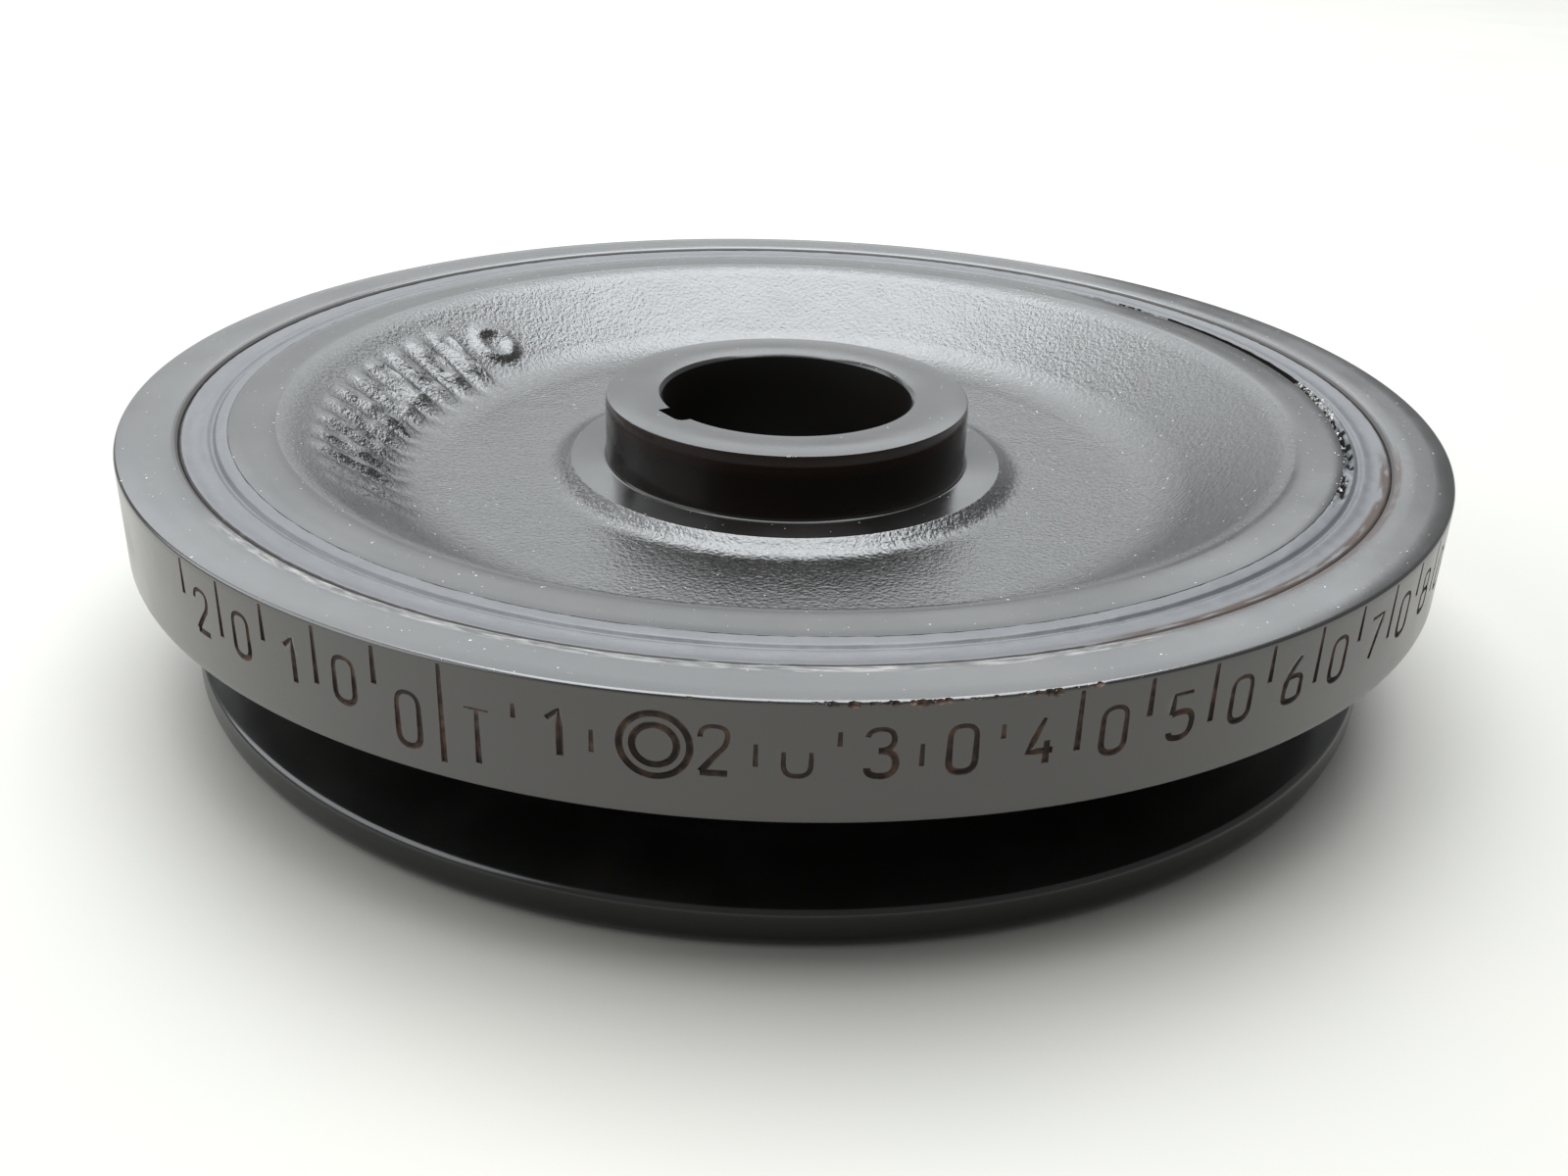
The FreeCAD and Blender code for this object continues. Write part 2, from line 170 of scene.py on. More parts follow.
def within(tree: bpy.types.NodeTree, value: bpy.types.NodeSocket, low: float, high: float, soft: float,
           share: bpy.types.NodeSocket | float = 1.0) -> bpy.types.NodeSocket:
    """A mask that is full between two limits and fades out past them.

    Args:
        tree: The node tree.
        value: The value to compare.
        low: Lower limit.
        high: Upper limit.
        soft: Width of the fade at each limit.
        share: What the mask reaches between the limits: a number, or another mask.

    Returns:
        The mask.
    """
    rise = add_node(tree, "ShaderNodeMapRange", {0: value, 1: low - soft, 2: low, 4: share},
                    interpolation_type="SMOOTHSTEP")
    fall = add_node(tree, "ShaderNodeMapRange", {0: value, 1: high + soft, 2: high},
                    interpolation_type="SMOOTHSTEP")
    both = add_node(tree, "ShaderNodeMath", {0: rise.outputs[0], 1: fall.outputs[0]}, operation="MULTIPLY")
    return both.outputs[0]


def patches(tree: bpy.types.NodeTree, point: bpy.types.NodeSocket, grain: float, start: float, end: float,
            detail: float = 2.0, share: bpy.types.NodeSocket | float = 1.0) -> bpy.types.NodeSocket:
    """An uneven mask of blotches.

    Args:
        tree: The node tree.
        point: Coordinates in metres.
        grain: Size of a blotch in millimetres.
        start: Noise value at which the mask begins.
        end: Noise value at which the mask is full.
        detail: Octaves of the noise.
        share: What the mask reaches inside a blotch: a number, or another mask.

    Returns:
        The mask.
    """
    scale = 1 / (grain * MM)
    field = add_node(tree, "ShaderNodeTexNoise", {"Vector": point, "Scale": scale, "Detail": detail})
    return add_node(tree, "ShaderNodeMapRange", {0: field.outputs[0], 1: start, 2: end, 4: share}).outputs[0]


def new_material(name: str) -> tuple[bpy.types.Material, bpy.types.NodeTree, bpy.types.Node]:
    """An empty node material with its surface shader.

    Args:
        name: The finish's name.

    Returns:
        The material, its tree and its surface shader.
    """
    material = bpy.data.materials.new(name)
    material.use_nodes = True
    tree = material.node_tree
    tree.nodes.clear()
    shader = add_node(tree, "ShaderNodeBsdfPrincipled")
    add_node(tree, "ShaderNodeOutputMaterial", {0: shader.outputs[0]})
    return material, tree, shader


@dataclass(frozen=True)
class Enamel:
    """Black enamel sprayed thinly over iron.

    The film is smooth enough to mirror its surroundings softly, so the eye sees black only where they are
    dark. Over sand-cast iron the mirror breaks up into grain.

    Attributes:
        name: The finish's name.
        colour: The film's own colour.
        rubbed: A lighter grey painted on upright faces, a painted reflection of the pale floor that they
            mirror.
        gloss: Roughness of the film.
        density: The film's index of refraction.
        cast_grain: Size of the sand grain that shows through, in millimetres, or nought over turned iron.
        cast_depth: Depth of that grain in millimetres.
        ring_rust: Whether the inner edge of the inertia ring has rusted.
    """

    name: str
    colour: str = "#0e0d0c"
    rubbed: str = "#0e0d0c"
    gloss: float = 0.2
    density: float = 1.5
    cast_grain: float = 0.0
    cast_depth: float = 0.0
    ring_rust: bool = False

    def material(self) -> bpy.types.Material:
        """Builds the enamel with its grain, dust, wear, rust and a painted reflection on its upright faces.

        Returns:
            The finished material.
        """
        material, tree, shader = new_material(self.name)
        place = read_place(tree)
        normal = add_node(tree, "ShaderNodeNewGeometry").outputs["Normal"]
        facing = add_node(tree, "ShaderNodeSeparateXYZ", {0: normal}).outputs[2]
        upright = within(tree, facing, -0.4, 0.4, 0.1)
        thin = patches(tree, place.point, 14.0, 0.4, 0.75, 5.0)
        if self.cast_grain:
            thin = patches(tree, place.point, self.cast_grain, 0.4, 0.65, 2.0)
        worn = patches(tree, place.point, 9.0, 0.35, 0.7, 4.0)
        dust = self._dust(tree, place, facing)
        film = add_node(tree, "ShaderNodeMix", {0: thin, 6: linear(self.colour), 7: linear(THIN_FILM)},
                        data_type="RGBA")
        # Upright faces are painted a lighter grey, a painted reflection of the pale floor.
        rubbed = add_node(tree, "ShaderNodeMix", {0: upright, 6: film.outputs[2], 7: linear(self.rubbed)},
                          data_type="RGBA")
        dusty = add_node(tree, "ShaderNodeMix", {0: dust, 6: rubbed.outputs[2], 7: linear(DUST)},
                         data_type="RGBA")
        smooth = add_node(tree, "ShaderNodeMix", {0: worn, 2: self.gloss, 3: self.gloss + 0.07})
        dull = add_node(tree, "ShaderNodeMix", {0: dust, 2: smooth.outputs[0], 3: 0.7})
        colour, roughness = dusty.outputs[2], dull.outputs[0]
        if self.ring_rust:
            colour, roughness = self._rusted_edge(tree, place, colour, roughness)
        tree.links.new(colour, shader.inputs["Base Color"])
        tree.links.new(roughness, shader.inputs["Roughness"])
        tree.links.new(self._relief(tree, place), shader.inputs["Normal"])
        shader.inputs["IOR"].default_value = self.density
        return material

    def _dust(self, tree: bpy.types.NodeTree, place: Place,
              facing: bpy.types.NodeSocket) -> bpy.types.NodeSocket:
        """Specks of dust on the level faces of the upper side.

        Args:
            tree: The node tree.
            place: Where the shading point is.
            facing: How far the face looks up, from minus one to one.

        Returns:
            The mask of the specks.
        """
        level = within(tree, facing, 0.75, 1.1, 0.1)
        upper = within(tree, place.height, 0.0200, 0.04, 0.0005, level)
        return patches(tree, place.point, 0.5, 0.765, 0.8, 1.0, upper)

    def _relief(self, tree: bpy.types.NodeTree, place: Place) -> bpy.types.NodeSocket:
        """Orange peel in the film, and the casting's grain under it.

        Args:
            tree: The node tree.
            place: Where the shading point is.

        Returns:
            The normal of the uneven surface.
        """
        peel = add_node(tree, "ShaderNodeTexNoise", {
            "Vector": place.point, "Scale": 1 / (1.6 * MM), "Detail": 2.0,
        })
        relief = add_node(tree, "ShaderNodeBump", {
            "Height": peel.outputs[0], "Strength": 0.25, "Distance": 0.03 * MM,
        })
        if self.cast_grain:
            grain = add_node(tree, "ShaderNodeTexNoise", {
                "Vector": place.point, "Scale": 1 / (self.cast_grain * MM), "Detail": 3.0, "Roughness": 0.55,
            })
            relief = add_node(tree, "ShaderNodeBump", {
                "Height": grain.outputs[0], "Strength": 1.0, "Distance": self.cast_depth * MM,
                "Normal": relief.outputs[0],
            })
        return relief.outputs[0]

    def _rusted_edge(self, tree: bpy.types.NodeTree, place: Place, colour: bpy.types.NodeSocket,
                     roughness: bpy.types.NodeSocket) -> tuple[bpy.types.NodeSocket, bpy.types.NodeSocket]:
        """Lifted paint along part of the ring's inner edge, and rust where it has gone.

        Args:
            tree: The node tree.
            place: Where the shading point is.
            colour: Colour of the film.
            roughness: Roughness of the film.

        Returns:
            The new colour and roughness.
        """
        top = within(tree, place.height, 0.0306, 0.04, 0.0002)
        edge = within(tree, place.radius, 0.0766, 0.0774, 0.0005, top)
        flaking = within(tree, place.angle, -0.785, 0.4, 0.15, edge)
        lifted = patches(tree, place.along, 0.35, 0.4, 0.75, 4.0, flaking)
        joint = within(tree, place.radius, 0.07, 0.07625, 0.00015, top)
        right_side = within(tree, place.angle, *RUSTED_STRETCH, 0.15, top)
        creeping = within(tree, place.radius, 0.07, 0.0768, 0.0004, right_side)
        rusty = patches(tree, place.along, 0.7, 0.35, 0.5, 4.0, creeping)
        paled = add_node(tree, "ShaderNodeMix", {0: lifted, 6: colour, 7: linear(LIFTED_FILM)},
                         data_type="RGBA")
        browned = add_node(tree, "ShaderNodeMix", {0: rusty, 6: paled.outputs[2], 7: linear(EDGE_RUST)},
                           data_type="RGBA")
        lined = add_node(tree, "ShaderNodeMix", {0: joint, 6: browned.outputs[2], 7: linear(JOINT_RUST)},
                         data_type="RGBA")
        either = add_node(tree, "ShaderNodeMath", {0: rusty, 1: joint}, operation="MAXIMUM")
        matt = add_node(tree, "ShaderNodeMix", {0: either.outputs[0], 2: roughness, 3: 0.75})
        return lined.outputs[2], matt.outputs[0]


@dataclass(frozen=True)
class GroundIron:
    """Iron machined bare and darkened by hot oil, so it is almost a black mirror with a brown cast.

    Attributes:
        name: The finish's name.
        colour: Colour of the oil film.
        end_colour: Its colour in the band of the lead-in by the journal's end, lighter and browner than the
            rest.
        gloss: Roughness of the machined face.
    """

    name: str
    colour: str
    end_colour: str
    gloss: float

    def material(self) -> bpy.types.Material:
        """Builds the machined face with its faint turning lines.

        Returns:
            The finished material.
        """
        material, tree, shader = new_material(self.name)
        place = read_place(tree)
        stretched = add_node(tree, "ShaderNodeMapping", {0: place.point, 3: (1.0, 1.0, 60.0)})
        lines = add_node(tree, "ShaderNodeTexNoise", {"Vector": stretched.outputs[0], "Scale": 1 / (18 * MM)})
        relief = add_node(tree, "ShaderNodeBump", {
            "Height": lines.outputs[0], "Strength": 0.3, "Distance": 0.01 * MM,
        })
        # The lead-in band at the journal's end is coloured lighter and browner than the rest of the journal.
        lead_in_band = within(tree, place.height, 0.0290, 0.0306, 0.0012)
        film = add_node(tree, "ShaderNodeMix", {0: lead_in_band, 6: linear(self.colour), 7: linear(self.end_colour)},
                        data_type="RGBA")
        tree.links.new(film.outputs[2], shader.inputs["Base Color"])
        tree.links.new(relief.outputs[0], shader.inputs["Normal"])
        shader.inputs["Roughness"].default_value = self.gloss
        shader.inputs["IOR"].default_value = 1.35
        return material


@dataclass(frozen=True)
class Rust:
    """Brown rust in stamped figures and nicks: matt and blotchy.

    Attributes:
        name: The finish's name.
        deep: Its darker colour, between the blotches.
        light: Colour of the dusty patches.
    """

    name: str
    deep: str = "#1c100b"
    light: str = "#54402f"

    def material(self) -> bpy.types.Material:
        """Builds the rust with its blotches and crumbly surface.

        Returns:
            The finished material.
        """
        material, tree, shader = new_material(self.name)
        place = read_place(tree)
        blotches = patches(tree, place.point, 1.4, 0.45, 0.75, 4.0)
        crumbs = add_node(tree, "ShaderNodeTexNoise", {"Vector": place.point, "Scale": 1 / (0.25 * MM)})
        relief = add_node(tree, "ShaderNodeBump", {
            "Height": crumbs.outputs[0], "Strength": 0.6, "Distance": 0.05 * MM,
        })
        patchy = add_node(tree, "ShaderNodeMix", {0: blotches, 6: linear(self.deep), 7: linear(self.light)},
                          data_type="RGBA")
        tree.links.new(patchy.outputs[2], shader.inputs["Base Color"])
        tree.links.new(relief.outputs[0], shader.inputs["Normal"])
        shader.inputs["Roughness"].default_value = 0.8
        return material


@dataclass(frozen=True)
class PaintedRubber:
    """Vulcanised natural rubber with a film of the enamel over it, duller and greyer than the iron beside it.

    Attributes:
        name: The finish's name.
        colour: Colour of the painted rubber.
        streak: Colour of the streaks along it.
        gloss: Roughness of the film on the rubber.
    """

    name: str
    colour: str = "#37383a"
    streak: str = "#414244"
    gloss: float = 0.44

    def material(self) -> bpy.types.Material:
        """Builds the rubber with streaks along the ring and rust washed onto its outer edge.

        Returns:
            The finished material.
        """
        material, tree, shader = new_material(self.name)
        place = read_place(tree)
        streaks = patches(tree, place.along, 1.2, 0.3, 0.8, 3.0)
        edge = within(tree, place.radius, 0.07565, 0.08, 0.00015)
        washed = patches(tree, place.point, 2.0, 0.1, 0.4, share=edge)
        right_side = within(tree, place.angle, *RUSTED_STRETCH, 0.15)
        creeping = within(tree, place.radius, 0.0750, 0.08, 0.0006, right_side)
        rusty = patches(tree, place.along, 0.9, 0.35, 0.5, 4.0, creeping)
        film = add_node(tree, "ShaderNodeMix", {0: streaks, 6: linear(self.colour), 7: linear(self.streak)},
                        data_type="RGBA")
        lined = add_node(tree, "ShaderNodeMix", {0: washed, 6: film.outputs[2], 7: linear(JOINT_RUST)},
                         data_type="RGBA")
        browned = add_node(tree, "ShaderNodeMix", {0: rusty, 6: lined.outputs[2], 7: linear(EDGE_RUST)},
                           data_type="RGBA")
        peel = add_node(tree, "ShaderNodeTexNoise", {
            "Vector": place.point, "Scale": 1 / (0.7 * MM), "Detail": 3.0,
        })
        relief = add_node(tree, "ShaderNodeBump", {
            "Height": peel.outputs[0], "Strength": 0.5, "Distance": 0.05 * MM,
        })
        either = add_node(tree, "ShaderNodeMath", {0: washed, 1: rusty}, operation="MAXIMUM")
        matt = add_node(tree, "ShaderNodeMix", {0: either.outputs[0], 2: self.gloss, 3: 0.8})
        tree.links.new(browned.outputs[2], shader.inputs["Base Color"])
        tree.links.new(matt.outputs[0], shader.inputs["Roughness"])
        tree.links.new(relief.outputs[0], shader.inputs["Normal"])
        return material


@dataclass(frozen=True)
class Plain:
    """A plain surface with a faint mottle, for paint crumbs and the studio floor.

    Attributes:
        name: The finish's name.
        colour: Main colour.
        other: Colour of the mottle.
        gloss: Roughness.
        grain: Size of the mottle in millimetres.
        density: The index of refraction.
    """

    name: str
    colour: str
    other: str
    gloss: float
    grain: float
    density: float = 1.5

    def material(self) -> bpy.types.Material:
        """Builds the mottled surface.

        Returns:
            The finished material.
        """
        material, tree, shader = new_material(self.name)
        mottle = patches(tree, read_place(tree).point, self.grain, 0.35, 0.65, 3.0)
        mixed = add_node(tree, "ShaderNodeMix", {0: mottle, 6: linear(self.colour), 7: linear(self.other)},
                         data_type="RGBA")
        tree.links.new(mixed.outputs[2], shader.inputs["Base Color"])
        shader.inputs["Roughness"].default_value = self.gloss
        shader.inputs["IOR"].default_value = self.density
        return material


TURNED_ENAMEL = Enamel("black_enamel_on_turned_iron", gloss=0.19)
# The ring's upright faces are painted lighter grey, a painted reflection of the floor.
RING_ENAMEL = Enamel("black_enamel_on_inertia_ring", rubbed="#3b3937", density=1.65, ring_rust=True)
CAST_ENAMEL = Enamel("black_enamel_on_sand_cast_iron", gloss=0.18, density=1.65, cast_grain=0.55,
                     cast_depth=0.15)
JOURNAL_IRON = GroundIron("ground_iron_journal", "#0f0a07", "#1a100b", 0.14)
BORE_IRON = GroundIron("machined_iron_bore", "#0b0907", "#0b0907", 0.4)
STAMP_RUST = Rust("rust_in_stamped_marks")
RUBBER = PaintedRubber("painted_natural_rubber")
TORN_RUBBER = Plain("torn_rubber", "#0a0908", "#120f0d", 0.6, 0.6, 1.15)
FLAKE = Plain("loose_enamel_flakes", "#c2c1be", "#6a6763", 0.4, 0.6)
FLOOR_PAPER = Plain("pale_studio_paper", "#95928c", "#918f8a", 0.6, 90.0)


# Shapes


@dataclass(frozen=True)
class Corner:
    """A corner of a turned outline.

    Attributes:
        radius: Distance from the axis.
        height: Height above the floor.
        rounding: Radius of the corner.
        finish: Number of the finish on the wall that goes on from this corner.
        spacing: Longest step along that wall.
    """

    radius: float
    height: float
    rounding: float = 0.0
    finish: int = 0
    spacing: float = 6.0


def outline_points(corners: list[Corner]) -> list[tuple[float, float, int]]:
    """Walks a closed outline, with an arc at each rounded corner, in coarser steps where it is tight.

    Args:
        corners: The outline's corners in order.

    Returns:
        Radius, height and the finish of the step that follows, for each point.
    """
    found: list[tuple[float, float, int]] = []
    for number, corner in enumerate(corners):
        before, after = corners[number - 1], corners[(number + 1) % len(corners)]
        here = Vector((corner.radius, corner.height))
        back = (Vector((before.radius, before.height)) - here).normalized()
        on = (Vector((after.radius, after.height)) - here).normalized()
        if corner.rounding:
            half = back.angle(on) / 2
            centre = here + (back + on).normalized() * corner.rounding / math.sin(half)
            first = here + back * corner.rounding / math.tan(half) - centre
            turn = math.copysign(math.pi - 2 * half, first.cross(here - centre))
            steps = max(2, round(math.degrees(abs(turn)) / (28 if corner.rounding < 0.7 else 12)))
            for step in range(steps + 1):
                spot = centre + Matrix.Rotation(turn * step / steps, 2) @ first
                found.append((spot.x, spot.y, before.finish if step < steps / 2 else corner.finish))
        else:
            found.append((corner.radius, corner.height, corner.finish))
        start = Vector(found[-1][:2])
        end = Vector((after.radius, after.height))
        if after.rounding:
            beyond = corners[(number + 2) % len(corners)]
            ahead = (Vector((beyond.radius, beyond.height)) - end).normalized()
            end -= on * after.rounding / math.tan((-on).angle(ahead) / 2)
        count = math.ceil((end - start).length / corner.spacing)
        for step in range(1, count):
            spot = start.lerp(end, step / count)
            found.append((spot.x, spot.y, corner.finish))
    return found


def turned(corners: list[Corner], steps: int) -> bmesh.types.BMesh:
    """Spins a closed outline through one sector, one finish after another, and repeats the sector all round.

    Args:
        corners: The outline's corners.
        steps: Number of steps round the axis, a multiple of the number of sectors.

    Returns:
        The closed, outward-facing mesh in metres.
    """
    shape = bmesh.new()
    sector = math.tau / SECTORS
    points = outline_points(corners)
    start = 0
    while start < len(points):
        end = start
        while end + 1 < len(points) and points[end + 1][2] == points[start][2]:
            end += 1
        run = points[start:end + 2] if end + 1 < len(points) else points[start:] + points[:1]
        verts = [shape.verts.new(at_angle(radius, 0.0, height)) for radius, height, _ in run]
        edges = [shape.edges.new(pair) for pair in zip(verts, verts[1:])]
        known = len(shape.faces)
        bmesh.ops.spin(shape, geom=verts + edges, cent=(0, 0, 0), axis=(0, 0, 1), dvec=(0, 0, 0),
                       angle=sector, steps=steps // SECTORS, use_merge=False, use_duplicate=False)
        shape.faces.ensure_lookup_table()
        for face in shape.faces[known:]:
            face.material_index = points[start][2]
        start = end + 1
    bmesh.ops.remove_doubles(shape, verts=shape.verts, dist=WELD)
    whole = shape.verts[:] + shape.edges[:] + shape.faces[:]
    bmesh.ops.spin(shape, geom=whole, cent=(0, 0, 0), axis=(0, 0, 1), dvec=(0, 0, 0),
                   angle=math.tau - sector, steps=SECTORS - 1, use_merge=False, use_duplicate=True)
    bmesh.ops.remove_doubles(shape, verts=shape.verts, dist=WELD)
    bmesh.ops.recalc_face_normals(shape, faces=shape.faces)
    return shape


def roughened(shape: bmesh.types.BMesh, grain: float, amount: float, share: Callable[[Vector], float],
              seed: Vector = Vector((0, 0, 0))) -> None:
    """Moves vertices along their normals by smooth noise.

    Args:
        shape: The mesh to change.
        grain: Size of the lumps in millimetres.
        amount: Largest movement in millimetres.
        share: How much of the movement a point gets, from nought to one.
        seed: Offset into the noise.
    """
    shape.normal_update()
    moves = []
    for vert in shape.verts:
        part = share(vert.co)
        if part > 0:
            lump = noise.fractal(vert.co / (grain * MM) + seed, 1.0, 2.0, 3)
            moves.append((vert, vert.normal * lump * amount * part * MM))
    for vert, move in moves:
        vert.co += move


def new_piece(name: str, shape: bmesh.types.BMesh, finishes: Iterable[bpy.types.Material],
              crease: float = 40.0) -> bpy.types.Object:
    """Turns a mesh into an object with smooth faces between sharp edges.

    Args:
        name: The piece's name.
        shape: Its mesh, which is freed.
        finishes: Its materials in slot order.
        crease: Angle above which an edge stays sharp, in degrees.

    Returns:
        The piece, at the origin.
    """
    mesh = bpy.data.meshes.new(name)
    shape.to_mesh(mesh)
    shape.free()
    for finish in finishes:
        mesh.materials.append(finish)
    mesh.shade_smooth()
    mesh.set_sharp_from_angle(angle=math.radians(crease))
    piece = bpy.data.objects.new(name, mesh)
    bpy.context.scene.collection.objects.link(piece)
    return piece


def cut_away(piece: bpy.types.Object, cutter: bpy.types.Object, solver: str, crease: float = 40.0) -> None:
    """Takes a cutter's shape out of a piece for good, and drops the cutter.

    Args:
        piece: The piece that is cut.
        cutter: What is taken away; its faces keep their own slot numbers in the piece.
        solver: MANIFOLD for one plain solid, EXACT for strokes that cross.
        crease: Angle above which an edge stays sharp, in degrees.
    """
    cut = piece.modifiers.new("cut", "BOOLEAN")
    cut.operation, cut.solver, cut.object = "DIFFERENCE", solver, cutter
    cut.use_self = solver == "EXACT"
    cut.material_mode = "INDEX"
    bpy.context.view_layer.update()
    made = bpy.data.meshes.new_from_object(piece.evaluated_get(bpy.context.evaluated_depsgraph_get()))
    piece.modifiers.clear()
    old = piece.data
    piece.data = made
    made.name = piece.name
    bpy.data.meshes.remove(old)
    bpy.data.meshes.remove(cutter.data)
    made.shade_smooth()
    made.set_sharp_from_angle(angle=math.radians(crease))


def settle(piece: bpy.types.Object, body: str, slot: str, *nodes: str) -> None:
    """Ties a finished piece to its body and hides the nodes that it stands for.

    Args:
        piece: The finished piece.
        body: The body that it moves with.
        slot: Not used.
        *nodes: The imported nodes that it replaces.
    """
    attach(piece, body)
    if nodes:
        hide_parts(*nodes)
    LOG.info("%s: %d faces on %s", piece.name, len(piece.data.polygons), body)


@dataclass(frozen=True)
class CrumbPatch:
    """A stretch of loose paint crumbs.

    Attributes:
        first: First angle.
        last: Last angle.
        radius: Radius that the crumbs lie about.
        spread: Largest distance from that radius.
        height: Height of the face under them.
        count: Number of crumbs.
        size: Typical size of a crumb.
    """

    first: float
    last: float
    radius: float
    spread: float
    height: float
    count: int
    size: float


def crumbs(name: str, stretches: Iterable[CrumbPatch], seed: int,
           finish: bpy.types.Material) -> bpy.types.Object:
    """Strews small angular crumbs over stretches of a rim.

    Args:
        name: The piece's name.
        stretches: Where the crumbs lie.
        seed: Seed of their places and shapes.
        finish: Their material.

    Returns:
        All the crumbs as one piece.
    """
    chance = random.Random(seed)
    shape = bmesh.new()
    for stretch in stretches:
        for _ in range(stretch.count):
            size = stretch.size * chance.uniform(0.5, 1.4)
            spot = at_angle(stretch.radius + chance.gauss(0, 0.5) * stretch.spread,
                            chance.uniform(stretch.first, stretch.last), stretch.height)
            tilt = Euler([chance.uniform(-math.pi, math.pi) for _ in range(3)]).to_matrix().to_4x4()
            flat = Matrix.Diagonal((1.0, chance.uniform(0.4, 0.9), chance.uniform(0.25, 0.5), 1.0))
            made = bmesh.ops.create_icosphere(shape, subdivisions=1, radius=size / 2 * MM,
                                              matrix=Matrix.Translation(spot) @ tilt @ flat)
            for vert in made["verts"]:
                vert.co += (vert.co - spot) * chance.uniform(-0.35, 0.25)
    return new_piece(name, shape, [finish], crease=20.0)


# The pulley's parts


class HubFace(Enum):
    """Slots of the finishes on the casting."""

    TURNED = 0
    CAST = 1
    JOURNAL = 2
    BORE = 3


@dataclass(frozen=True)
class FoundryMarks:
    """Plain raised bars and a plain ring, cast on the slope of the dish and blurred by sand and paint."""

    count: int = 12
    first_angle: float = -119.0
    sweep: float = 57.0
    inner_radius: float = 52.5
    outer_radius: float = 60.5
    width: float = 3.2
    rise: float = 0.85
    ring_angle: float = -127.0
    ring_radius: float = 56.5
    ring_size: float = 2.6
    ring_width: float = 1.5

    def bar(self, radius: float, angle: float) -> float:
        """How far the nearest bar stands out at a point.

        Args:
            radius: The point's distance from the axis.
            angle: The point's direction.

        Returns:
            The rise in millimetres, hollowed along the bar's middle and highest at its lower end.
        """
        step = self.sweep / (self.count - 1)
        number = round((angle - self.first_angle) / step)
        if not 0 <= number < self.count:
            return 0.0
        across = abs(math.radians(angle - self.first_angle - number * step)) * radius
        middle = (self.inner_radius + self.outer_radius) / 2
        half = (self.outer_radius - self.inner_radius) / 2
        worn = 0.45 if number > self.count - 3 else 1.0
        hollow = 0.45 * fade(across, 0.1, 1.0) * (0.5 + 0.5 * math.sin(radius * 1.1 + number * 2.3))
        body = fade(across, self.width / 2 - 0.9, self.width / 2 + 0.5)
        body *= fade(abs(radius - middle), half - 0.8, half + 0.6)
        return self.rise * worn * body * (1 - hollow) * (1 - 0.3 * (radius - middle) / half)

    def ring(self, radius: float, angle: float) -> float:
        """How far the plain ring stands out at a point.

        Args:
            radius: The point's distance from the axis.
            angle: The point's direction.

        Returns:
            The rise in millimetres.
        """
        across = math.radians(angle - self.ring_angle) * radius
        off = abs(math.hypot(across, (radius - self.ring_radius) * 1.15) - self.ring_size)
        return 0.6 * self.rise * fade(off, self.ring_width / 2 - 0.6, self.ring_width / 2 + 0.6)

    def cast_on(self, shape: bmesh.types.BMesh, floor: float) -> None:
        """Raises the marks on a casting's mesh.

        Args:
            shape: The casting's mesh.
            floor: Height of the dish floor, below which nothing is marked.
        """
        shape.normal_update()
        moves = []
        for vert in shape.verts:
            radius, angle = math.hypot(vert.co.x, vert.co.y) / MM, angle_of(vert.co)
            if vert.co.z > floor * MM and self.inner_radius - 1 < radius < self.outer_radius + 1:
                lump = 1 + 0.35 * noise.fractal(vert.co / (2.2 * MM), 1.0, 2.0, 2)
                rise = max(self.bar(radius, angle), self.ring(radius, angle))
                moves.append((vert, vert.normal * rise * lump * MM))
        for vert, move in moves:
            vert.co += move


